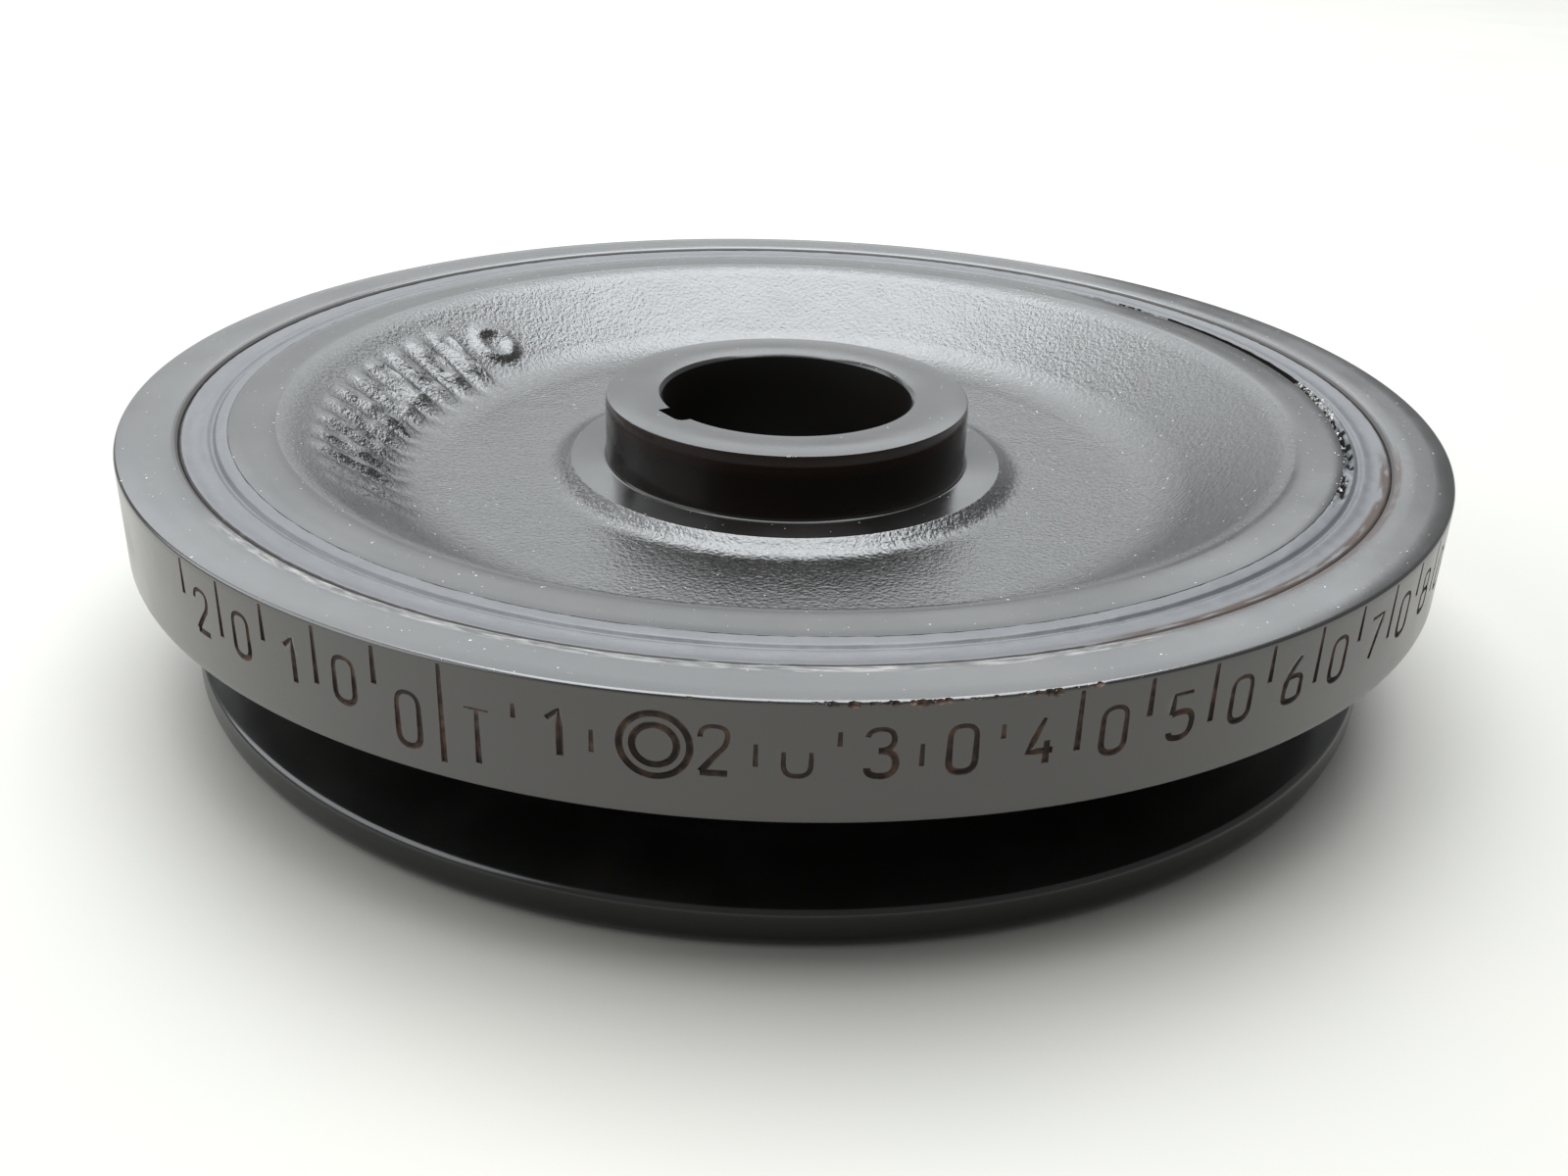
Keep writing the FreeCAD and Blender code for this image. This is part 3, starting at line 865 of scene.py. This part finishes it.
@dataclass
class HubCasting:
    """The casting: bore and keyway, seal journal, dished web, rubber seat and V groove.

    The outline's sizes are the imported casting's own, and turned edges have the small breaks that a lathe
    hand gives.
    """

    bore_radius: float = 16.5
    bore_break: float = 0.5
    journal_radius: float = 24.0
    journal_end: float = 31.0
    lead_in_rise: float = 1.4
    lead_in_step: float = 0.14
    shoulder_radius: float = 28.65
    shoulder_height: float = 22.5
    shoulder_toe: float = 31.0
    dish_height: float = 21.0
    dish_floor_radius: float = 50.0
    dish_rim_radius: float = 64.3
    rim_height: float = 31.3
    seat_radius: float = 70.4
    groove_radius: float = 77.0
    shelf_height: float = 18.7
    groove_top: float = 17.2
    groove_bottom: float = 4.9
    groove_depth: float = 10.5
    groove_half_angle: float = 18.0
    recess_radius: float = 59.5
    recess_roof_radius: float = 57.0
    web_bottom: float = 12.5
    boss_radius: float = 28.0
    boss_root_radius: float = 30.0
    boss_end: float = 2.0
    bolt_seat_radius: float = 20.0
    bolt_seat_height: float = 10.0
    key_width: float = 5.0
    key_depth: float = 2.0
    key_angle: float = -53.6
    steps: int = 504

    def outline(self) -> list[Corner]:
        """The casting's outline, from the bore's mouth out over the dish, down the groove and in underneath.

        Returns:
            The outline's corners in order.
        """
        turned_face, cast, journal, bore = (face.value for face in HubFace)
        wall_rise = self.groove_depth * math.tan(math.radians(self.groove_half_angle))
        root = self.groove_radius - self.groove_depth
        return [
            Corner(self.bore_radius, self.journal_end - self.bore_break, 0.15, turned_face),
            Corner(self.bore_radius + self.bore_break, self.journal_end, 0.15, turned_face),
            Corner(self.journal_radius - self.lead_in_step, self.journal_end, 0.15, journal),
            Corner(self.journal_radius, self.journal_end - self.lead_in_rise, 2.0, journal),
            Corner(self.journal_radius, self.shoulder_height, 0.5, turned_face),
            Corner(self.shoulder_radius, self.shoulder_height, 0.15, cast, 0.3),
            Corner(self.shoulder_toe, self.dish_height, 4.0, cast, 0.8),
            Corner(self.dish_floor_radius, self.dish_height, 12.0, cast, 0.6),
            Corner(self.dish_rim_radius, self.rim_height, 5.0, turned_face, 1.5),
            Corner(self.seat_radius, self.rim_height, 0.05, turned_face),
            Corner(self.seat_radius, self.shelf_height, 0.0, turned_face),
            Corner(self.groove_radius, self.shelf_height, 0.4, turned_face),
            Corner(self.groove_radius, self.groove_top, 0.6, turned_face),
            Corner(root, self.groove_top - wall_rise, 0.8, turned_face),
            Corner(root, self.groove_bottom + wall_rise, 0.8, turned_face),
            Corner(self.groove_radius, self.groove_bottom, 1.0, turned_face),
            Corner(self.groove_radius, 0.0, 2.4, turned_face),
            Corner(self.recess_radius, 0.0, 1.0, cast, 2.0),
            Corner(self.recess_roof_radius, self.web_bottom, 4.0, cast, 2.0),
            Corner(self.boss_root_radius, self.web_bottom, 4.0, cast, 2.0),
            Corner(self.boss_radius, self.boss_end, 1.0, turned_face),
            Corner(self.bolt_seat_radius, self.boss_end, 0.4, turned_face),
            Corner(self.bolt_seat_radius, self.bolt_seat_height, 0.4, turned_face),
            Corner(self.bore_radius, self.bolt_seat_height, 0.4, bore),
        ]

    def dish_share(self, point: Vector) -> float:
        """How rough the casting is at a point: full on the dish, less under the web, none on turned faces.

        Args:
            point: The point in metres.

        Returns:
            The share, from nought to one.
        """
        radius = math.hypot(point.x, point.y) / MM
        if point.z / MM < self.shelf_height:
            inside = self.boss_root_radius + 2 < radius < self.recess_roof_radius - 1
            return 0.6 if inside and point.z / MM > self.boss_end + 2 else 0.0
        from_shoulder = min(max((radius - self.shoulder_radius - 0.3) / 1.0, 0), 1)
        from_rim = min(max((self.dish_rim_radius - 0.8 - radius) / 3.0, 0), 1)
        return from_shoulder * from_rim

    def shoulder_share(self, point: Vector) -> float:
        """How ragged the unmachined step round the shoulder is at a point.

        Args:
            point: The point in metres.

        Returns:
            The share, from nought to one.
        """
        radius = math.hypot(point.x, point.y) / MM
        if point.z / MM < self.shelf_height or radius <= self.shoulder_radius + 0.1:
            return 0.0
        return max(0.0, 1 - abs(radius - self.shoulder_toe + 0.5) / 1.6)

    def keyway_cutter(self) -> bpy.types.Object:
        """A slot through the bore wall, with one corner worn away.

        Returns:
            The shape to cut out of the casting.
        """
        shape = bmesh.new()
        size = (self.key_width, self.key_depth + 4.0, self.journal_end)
        middle = self.bore_radius + self.key_depth - size[1] / 2
        centre = Vector((0, -middle, self.journal_end / 2 + self.boss_end + 1))
        place = Matrix.Translation(centre) @ Matrix.Diagonal((*size, 1.0))
        bmesh.ops.create_cube(shape, size=1.0, matrix=place)
        corner = max(shape.verts, key=lambda vert: vert.co.x - vert.co.y + vert.co.z)
        upright = [edge for edge in corner.link_edges if abs(edge.verts[0].co.z - edge.verts[1].co.z) > 1]
        bmesh.ops.bevel(shape, geom=upright, affect="EDGES", offset=1.1, segments=3, profile=0.5, material=-1)
        turn = Matrix.Rotation(math.radians(self.key_angle), 3, "Z")
        bmesh.ops.rotate(shape, verts=shape.verts, cent=(0, 0, 0), matrix=turn)
        bmesh.ops.scale(shape, verts=shape.verts, vec=(MM, MM, MM))
        for face in shape.faces:
            face.material_index = HubFace.BORE.value
        return new_piece("keyway_cutter", shape, [])

    def build(self) -> bpy.types.Object:
        """Turns the casting, raises the foundry marks, roughens the cast faces and cuts the keyway.

        Returns:
            The finished casting.
        """
        shape = turned(self.outline(), self.steps)
        FoundryMarks().cast_on(shape, self.dish_height + 0.5)
        roughened(shape, 3.4, 0.03, self.dish_share)
        roughened(shape, 0.6, 0.1, self.shoulder_share, Vector((7, 3, 1)))
        finishes = [TURNED_ENAMEL, CAST_ENAMEL, JOURNAL_IRON, BORE_IRON]
        piece = new_piece("painted_hub_casting", shape, [finish.material() for finish in finishes])
        cut_away(piece, self.keyway_cutter(), "MANIFOLD")
        settle(piece, "hub", "casting", "hub_casting")
        return piece


@dataclass
class RubberRing:
    """The bonded rubber: a moulded line beside the casting and a shallow hollow out to the inertia ring."""

    inner_radius: float = 70.42
    line_radius: float = 72.2
    outer_radius: float = 75.9
    bottom: float = 19.9
    inner_top: float = 31.28
    top: float = 31.2
    line_height: float = 30.7
    hollow_height: float = 30.85
    torn_from: float = 60.0
    torn_to: float = 140.0
    torn_depth: float = 1.6
    bare_angle: float = 107.0
    bare_width: float = 1.9
    parted_from: float = 97.0
    parted_to: float = 126.0
    steps: int = 720

    def outline(self) -> list[Corner]:
        """The rubber's outline, from its lower inner edge up and over to its outer face.

        Returns:
            The outline's corners in order.
        """
        return [
            Corner(self.inner_radius, self.bottom, 0.3),
            Corner(self.inner_radius, self.inner_top, 0.04, 0, 0.4),
            Corner(self.line_radius - 0.45, self.top - 0.05, 0.3, 0, 0.3),
            Corner(self.line_radius, self.line_height, 0.3, 0, 0.3),
            Corner(self.line_radius + 0.6, self.top - 0.1, 0.4, 0, 0.4),
            Corner(self.line_radius + 1.9, self.hollow_height, 2.5, 0, 0.4),
            Corner(self.outer_radius - 0.25, self.top, 0.3, 0, 0.3),
            Corner(self.outer_radius, self.top - 0.3, 0.1, 0, 3.0),
            Corner(self.outer_radius, self.bottom, 0.3),
        ]

    def tear(self, shape: bmesh.types.BMesh) -> None:
        """Sinks ragged gaps into the rubber's inner edge where it has come away, and bares their dark sides.

        Args:
            shape: The rubber's mesh.
        """
        for vert in shape.verts:
            radius, angle = math.hypot(vert.co.x, vert.co.y) / MM, angle_of(vert.co)
            if vert.co.z / MM < self.top - 0.9 or radius > self.inner_radius + 0.9:
                continue
            inside = min(max((angle - self.torn_from) / 8, 0), max((self.torn_to - angle) / 8, 0), 1)
            ragged = noise.fractal(Vector((angle * 0.35, radius * 0.8, 2.0)), 1.0, 2.0, 4)
            parted = min(max((angle - self.parted_from) / 3, 0), max((self.parted_to - angle) / 3, 0), 1)
            depth = max(min(max((ragged + 0.12) * 3.2, 0), 1) * inside * 0.7, parted)
            vert.co.z -= self.torn_depth * MM * depth
        for face in shape.faces:
            middle = face.calc_center_median()
            radius, height = math.hypot(middle.x, middle.y) / MM, middle.z / MM
            bare = self.bare_width * fade(abs(angle_of(middle) - self.bare_angle), 4, 12)
            open_side = height > self.top - self.torn_depth - 0.1
            sunk = height < self.top - 0.35 and radius < self.line_radius - 0.7
            if open_side and (sunk or radius < self.inner_radius + bare):
                face.material_index = 1

    def build(self) -> bpy.types.Object:
        """Moulds the ring, wrinkles its upper face slightly and tears its inner edge.

        Returns:
            The finished ring.
        """
        shape = turned(self.outline(), self.steps)
        roughened(shape, 1.6, 0.05, lambda point: 1.0 if point.z > (self.line_height - 0.2) * MM else 0.0)
        self.tear(shape)
        finishes = [RUBBER.material(), TORN_RUBBER.material()]
        piece = new_piece("painted_rubber_ring", shape, finishes, crease=50.0)
        settle(piece, "hub", "rubber", "rubber_ring")
        return piece


class Line(Enum):
    """How a stroke runs through its points."""

    STRAIGHT = "POLY"
    ROUND = "NURBS"


@dataclass(frozen=True)
class Stroke:
    """One stroke of a figure, on a box one wide and one high.

    Attributes:
        line: Whether it is straight or round.
        points: Its points.
        closed: Whether it ends where it starts.
    """

    line: Line
    points: tuple[tuple[float, float], ...]
    closed: bool = False


FIGURES: dict[str, tuple[Stroke, ...]] = {
    "0": (Stroke(Line.ROUND, ((0, 0.5), (0, 1), (1, 1), (1, 0.5), (1, 0), (0, 0)), True),),
    "1": (Stroke(Line.STRAIGHT, ((0.3, 0.78), (0.8, 1), (0.8, 0))),),
    "2": (Stroke(Line.ROUND, ((0, 0.76), (0, 1), (1, 1), (1, 0.62), (0.5, 0.35), (0.02, 0.02))),
          Stroke(Line.STRAIGHT, ((0, 0), (1, 0)))),
    "3": (Stroke(Line.ROUND, ((0, 0.84), (0.05, 1), (0.95, 1), (0.95, 0.56), (0.4, 0.55))),
          Stroke(Line.ROUND, ((0.4, 0.55), (1.05, 0.55), (1.05, 0), (0, 0), (0, 0.18)))),
    "4": (Stroke(Line.STRAIGHT, ((0.6, 1), (0, 0.28), (1, 0.28))),
          Stroke(Line.STRAIGHT, ((0.75, 0.5), (0.75, 0)))),
    "5": (Stroke(Line.STRAIGHT, ((0.95, 1), (0.1, 1), (0.05, 0.56))),
          Stroke(Line.ROUND, ((0.05, 0.56), (1.05, 0.68), (1.05, 0), (0, 0), (0, 0.16)))),
    "6": (Stroke(Line.ROUND, ((0.8, 1), (0.1, 0.7), (0, 0.3))),
          Stroke(Line.ROUND, ((0, 0.3), (0, 0.58), (1, 0.58), (1, 0.3), (1, 0), (0, 0)), True)),
    "7": (Stroke(Line.STRAIGHT, ((0, 1), (1, 1), (0.3, 0))),),
    "8": (Stroke(Line.ROUND, ((0.1, 0.77), (0.1, 1), (0.9, 1), (0.9, 0.77), (0.9, 0.54), (0.1, 0.54)), True),
          Stroke(Line.ROUND, ((0, 0.27), (0, 0.54), (1, 0.54), (1, 0.27), (1, 0), (0, 0)), True)),
    "T": (Stroke(Line.STRAIGHT, ((0, 1), (1, 1))), Stroke(Line.STRAIGHT, ((0.5, 1), (0.5, 0)))),
}


@dataclass
class TimingScale:
    """Marks and figures stamped in the inertia ring, deep at the foot and fading towards the head."""

    face_radius: float = 83.0
    zero_angle: float = -21.2
    first_mark: int = -25
    last_mark: int = 80
    step: int = 5
    top: float = 31.6
    short_mark: float = 4.4
    long_mark: float = 6.6
    zero_mark: float = 10.7
    figure_width: float = 2.4
    figure_height: float = 4.7
    figure_base: float = 24.15
    zero_base: float = 21.7
    zero_height: float = 5.6
    offset: float = 2.5
    pen: float = 0.38
    foot_lift: float = 0.06
    head_lift: float = 0.27
    faint_marks: tuple[int, ...] = (5, 10, 20, 25, 30, 35)
    faint_wear: float = 0.19
    covered_mark: int = 15
    stamp_offset: float = 3.9
    stamp_sizes: tuple[float, ...] = (6.5, 4.1)
    stamp_wear: float = -0.1

    def add_stroke(self, curve: bpy.types.Curve, stroke: Stroke, angle: float, base: float,
                   size: tuple[float, float], worn: float = 0.0) -> None:
        """Adds one stroke to the stamping curve.

        Args:
            curve: The curve that becomes the cutter.
            stroke: The stroke to add.
            angle: Direction of the figure's middle.
            base: Height of its feet.
            size: Width and height of its box.
            worn: How much shallower it is, in millimetres.
        """
        spline = curve.splines.new(stroke.line.value)
        points = self._eased(stroke) if stroke.line is Line.STRAIGHT else stroke.points
        spline.points.add(len(points) - 1)
        for spot, (across, up) in zip(spline.points, points):
            turn = angle + math.degrees((across - 0.5) * size[0] / self.face_radius)
            lift = self.foot_lift + (self.head_lift - self.foot_lift) * up + worn
            spot.co = (*at_angle(self.face_radius + lift, turn, base + up * size[1]), 1.0)
        spline.use_cyclic_u = stroke.closed
        if stroke.line is Line.ROUND:
            spline.order_u = 3
            spline.use_endpoint_u = not stroke.closed
            spline.resolution_u = 5

    def _eased(self, stroke: Stroke) -> list[tuple[float, float]]:
        """The same straight stroke with points along it, so that it can get shallower.

        Args:
            stroke: The stroke.

        Returns:
            Its points, with two more in each run.
        """
        eased = [stroke.points[0]]
        for here, there in zip(stroke.points, stroke.points[1:]):
            across, up = there[0] - here[0], there[1] - here[1]
            eased += [(here[0] + across * part, here[1] + up * part) for part in (0.33, 0.67, 1)]
        return eased

    def figure(self, curve: bpy.types.Curve, name: str, angle: float, at_zero: bool = False,
               worn: float = 0.0) -> None:
        """Adds one figure's strokes.

        Args:
            curve: The curve that becomes the cutter.
            name: The figure.
            angle: Direction of its middle.
            at_zero: Whether it is one of the two taller characters at the zero mark.
            worn: How much shallower it is, in millimetres.
        """
        base = self.zero_base if at_zero else self.figure_base
        size = (self.figure_width, self.zero_height if at_zero else self.figure_height)
        for stroke in FIGURES[name]:
            self.add_stroke(curve, stroke, angle, base, size, worn)

    def marks(self, curve: bpy.types.Curve) -> None:
        """Adds the upright marks: short every five degrees, longer at the tens and longest at zero.

        Args:
            curve: The curve that becomes the cutter.
        """
        for degrees in range(self.first_mark, self.last_mark + 1, self.step):
            if degrees == self.covered_mark:
                continue
            length = self.zero_mark if degrees == 0 else self.short_mark if degrees % 10 else self.long_mark
            upright = Stroke(Line.STRAIGHT, ((0.5, 0.0), (0.5, 1.0)))
            worn = self.faint_wear if degrees in self.faint_marks else 0.03
            box = (1.0, length - 0.5)
            self.add_stroke(curve, upright, self.zero_angle + degrees, self.top - length, box, worn)

    def rings(self, curve: bpy.types.Curve) -> None:
        """Adds the plain double ring stamped in place of the first nought on the right.

        Args:
            curve: The curve that becomes the cutter.
        """
        middle = self.figure_base + self.figure_height / 2
        for size in self.stamp_sizes:
            around = [math.tau * number / 12 for number in range(12)]
            spots = tuple((0.5 + 0.5 * math.sin(turn), 0.5 - 0.5 * math.cos(turn)) for turn in around)
            stroke = Stroke(Line.ROUND, spots, True)
            angle = self.zero_angle + 10 + self.stamp_offset
            self.add_stroke(curve, stroke, angle, middle - size / 2, (size, size), self.stamp_wear)

    def curve(self) -> bpy.types.Curve:
        """Every mark and figure as one tube-shaped curve.

        Returns:
            The curve.
        """
        curve = bpy.data.curves.new("stamping", "CURVE")
        curve.dimensions = "3D"
        curve.bevel_depth = self.pen * MM
        curve.bevel_resolution = 1
        curve.use_fill_caps = True
        self.marks(curve)
        self.rings(curve)
        for tens in range(-2, 9):
            angle = self.zero_angle + 10 * tens
            if tens == 0:
                self.figure(curve, "0", angle - self.offset, at_zero=True)
                self.figure(curve, "T", angle + self.offset, at_zero=True, worn=0.05)
                continue
            self.figure(curve, str(abs(tens)), angle - self.offset, worn=0.03 if tens == 2 else 0.0)
            if tens != 1:
                self.figure(curve, "0", angle + self.offset, worn=0.16 if tens == 2 else 0.0)
        return curve

    def cutter(self, nicks: list[tuple[Vector, float]]) -> bpy.types.Object:
        """The stamping tubes and edge nicks as one cutting mesh.

        Args:
            nicks: Centre and radius of each nick, in metres.

        Returns:
            The cutter, whose faces use the second finish slot.
        """
        holder = bpy.data.objects.new("stamping", self.curve())
        bpy.context.scene.collection.objects.link(holder)
        bpy.context.view_layer.update()
        tubes = bpy.data.meshes.new_from_object(holder.evaluated_get(bpy.context.evaluated_depsgraph_get()))
        bpy.data.curves.remove(holder.data)
        shape = bmesh.new()
        shape.from_mesh(tubes)
        bpy.data.meshes.remove(tubes)
        bmesh.ops.remove_doubles(shape, verts=shape.verts, dist=0.001 * MM)
        for centre, radius in nicks:
            place = Matrix.Translation(centre)
            bmesh.ops.create_icosphere(shape, subdivisions=1, radius=radius, matrix=place)
        bmesh.ops.recalc_face_normals(shape, faces=shape.faces)
        for face in shape.faces:
            face.material_index = 1
        return new_piece("stamping_cutter", shape, [])


@dataclass
class InertiaRing:
    """The turned inertia ring with its timing scale and its chipped upper edge."""

    outer_radius: float = 83.0
    bore_radius: float = 76.0
    bottom: float = 19.2
    top: float = 31.6
    bevel: float = 0.6
    edge: float = 0.3
    steps: int = 720

    def outline(self) -> list[Corner]:
        """The ring's outline, from its lower inner edge outwards and round.

        Returns:
            The outline's corners in order.
        """
        return [
            Corner(self.bore_radius, self.bottom, 0.3),
            Corner(self.bore_radius, self.top - self.edge - 0.2, 0.2, 0, 3.0),
            Corner(self.bore_radius + self.bevel, self.top, 0.6, 0, 2.0),
            Corner(self.outer_radius, self.top, self.edge + 0.1, 0, 0.7),
            Corner(self.outer_radius, self.bottom, self.edge),
        ]

    def nicks(self) -> list[tuple[Vector, float]]:
        """Places where the upper edge has been struck and the paint has gone.

        Returns:
            Centre and radius of each nick, in metres.
        """
        chance = random.Random(11)
        stretches = [(-6, 3, 7, 0.4), (1, 20, 34, 0.75), (20, 60, 8, 0.3), (-170, 170, 8, 0.25)]
        places = []
        for first, last, count, size in stretches:
            for _ in range(count):
                radius = size * chance.uniform(0.5, 1.2)
                angle = chance.uniform(first, last)
                height = self.top + radius * chance.uniform(-0.2, 0.3)
                places.append((at_angle(self.outer_radius + radius * 0.45, angle, height), radius * MM))
        return places

    def build(self) -> bpy.types.Object:
        """Turns the ring and stamps it.

        Returns:
            The finished ring.
        """
        shape = turned(self.outline(), self.steps)
        piece = new_piece("painted_inertia_ring", shape, [RING_ENAMEL.material(), STAMP_RUST.material()])
        cut_away(piece, TimingScale().cutter(self.nicks()), "EXACT")
        settle(piece, "ring", "ring", "inertia_ring")
        return piece


@dataclass
class LooseFlakes:
    """Crumbs of enamel that lie along the edges of the rubber and on the ring."""

    def build(self) -> list[bpy.types.Object]:
        """Strews the crumbs on the hub's side and on the ring's side.

        Returns:
            The crumbs on the hub and those on the ring.
        """
        finish = FLAKE.material()
        on_hub = crumbs("flakes_by_rubber", [
            CrumbPatch(86, 98, 71.2, 0.7, 31.1, 90, 0.5),
            CrumbPatch(60, 90, 70.5, 0.35, 31.15, 80, 0.35),
            CrumbPatch(124, 140, 70.5, 0.25, 31.15, 40, 0.3),
            CrumbPatch(-100, -60, 72.2, 0.3, 30.6, 20, 0.2),
            CrumbPatch(140, 250, 70.4, 0.2, 31.1, 30, 0.2),
            CrumbPatch(-91, -89, 71.3, 0.5, 31.0, 9, 0.5),
            CrumbPatch(0, 3, 23.85, 0.15, 30.93, 8, 0.3),
        ], 3, finish)
        settle(on_hub, "hub", "casting")
        on_ring = crumbs("flakes_on_ring", [
            CrumbPatch(62, 75, 82.0, 0.2, 31.45, 16, 0.2),
            CrumbPatch(70, 112, 82.4, 0.15, 31.4, 26, 0.32),
            CrumbPatch(-2, 20, 82.5, 0.1, 31.34, 120, 0.36),
            CrumbPatch(35, 70, 79.5, 1.6, 31.45, 20, 0.18),
            CrumbPatch(-45, 20, 76.8, 0.3, 31.3, 26, 0.18),
        ], 5, finish)
        settle(on_ring, "ring", "ring")
        return [on_hub, on_ring]


# The studio


@dataclass(frozen=True)
class Softbox:
    """A softbox that faces the pulley from a distance.

    Attributes:
        name: The light's name.
        bearing: Its direction on the floor, in degrees from +Y and positive towards +X.
        elevation: Its direction above the floor in degrees.
        width: Its width as seen from the pulley, in degrees.
        height: Its height as seen from the pulley, in degrees.
        glow: Radiance of its face.
        distance: Its distance in metres.
    """

    name: str
    bearing: float
    elevation: float
    width: float
    height: float
    glow: float
    distance: float = 2.4

    def hang(self) -> None:
        """Hangs the softbox with the power that its size and glow need."""
        lamp = bpy.data.lights.new(self.name, "AREA")
        lamp.shape = "RECTANGLE"
        lamp.size, lamp.size_y = (
            2 * self.distance * math.tan(math.radians(side / 2)) for side in (self.width, self.height)
        )
        lamp.energy = math.pi * lamp.size * lamp.size_y * self.glow
        lamp.color = linear("#f6fbfe")[:3]
        rise, turn = math.radians(self.elevation), math.radians(self.bearing)
        level = math.cos(rise)
        spot = Vector((math.sin(turn) * level, math.cos(turn) * level, math.sin(rise))) * self.distance
        holder = bpy.data.objects.new(self.name, lamp)
        holder.location = spot
        holder.rotation_euler = (-spot).to_track_quat("-Z", "Y").to_euler()
        bpy.context.scene.collection.objects.link(holder)


SOFTBOXES = (
    Softbox("softbox_low", -14.0, 10.5, 52.0, 21.0, 0.85),
    Softbox("softbox_middle", -7.5, 36.0, 61.5, 27.0, 2.9),
    Softbox("softbox_above", 0.0, 80.0, 56.0, 54.0, 10.0),
    Softbox("softbox_left", -95.0, 34.0, 60.0, 34.0, 4.0),
)


@dataclass
class Studio:
    """A plain pale floor, soft light from all round, and softboxes low behind, behind and above."""

    surround: float = 0.4
    lens: float = 35.89
    eye: tuple[float, float, float] = (0.0, -197.8, 98.0)
    heading: float = -0.0021
    pitch: float = 0.4518
    roll: float = 0.0327

    def floor(self) -> None:
        """Lays the floor under the pulley."""
        shape = bmesh.new()
        bmesh.ops.create_grid(shape, x_segments=1, y_segments=1, size=4.0)
        new_piece("floor", shape, [FLOOR_PAPER.material()])

    def camera(self) -> None:
        """Stands the camera in front of the pulley, looking down on it."""
        camera = bpy.data.cameras.new("camera")
        camera.lens = self.lens
        camera.sensor_width = 36.0
        camera.clip_start = 0.01
        holder = bpy.data.objects.new("camera", camera)
        holder.matrix_world = (Matrix.Translation(Vector(self.eye) * MM)
                               @ Matrix.Rotation(self.heading, 4, "Z")
                               @ Matrix.Rotation(math.pi / 2 - self.pitch, 4, "X")
                               @ Matrix.Rotation(self.roll, 4, "Z"))
        bpy.context.scene.collection.objects.link(holder)
        bpy.context.scene.camera = holder

    def world(self) -> None:
        """Lights the scene softly from all round."""
        world = bpy.data.worlds.new("studio")
        world.use_nodes = True
        tree = world.node_tree
        tree.nodes.clear()
        glow = add_node(tree, "ShaderNodeBackground", {
            "Color": linear("#f7f9fb"), "Strength": self.surround,
        })
        add_node(tree, "ShaderNodeOutputWorld", {0: glow.outputs[0]})
        bpy.context.scene.world = world

    def build(self) -> None:
        """Sets up the floor, the lights and the camera."""
        self.floor()
        self.world()
        for softbox in SOFTBOXES:
            softbox.hang()
        self.camera()
        bpy.context.scene.view_settings.view_transform = "Standard"


def main() -> None:
    """Builds the studio and the pulley, and reports each piece."""
    logging.basicConfig(level=logging.INFO, format="%(message)s")
    Studio().build()
    for part in (HubCasting(), RubberRing(), InertiaRing(), LooseFlakes()):
        LOG.info("building %s", type(part).__name__)
        part.build()


if __name__ == "__main__":
    main()
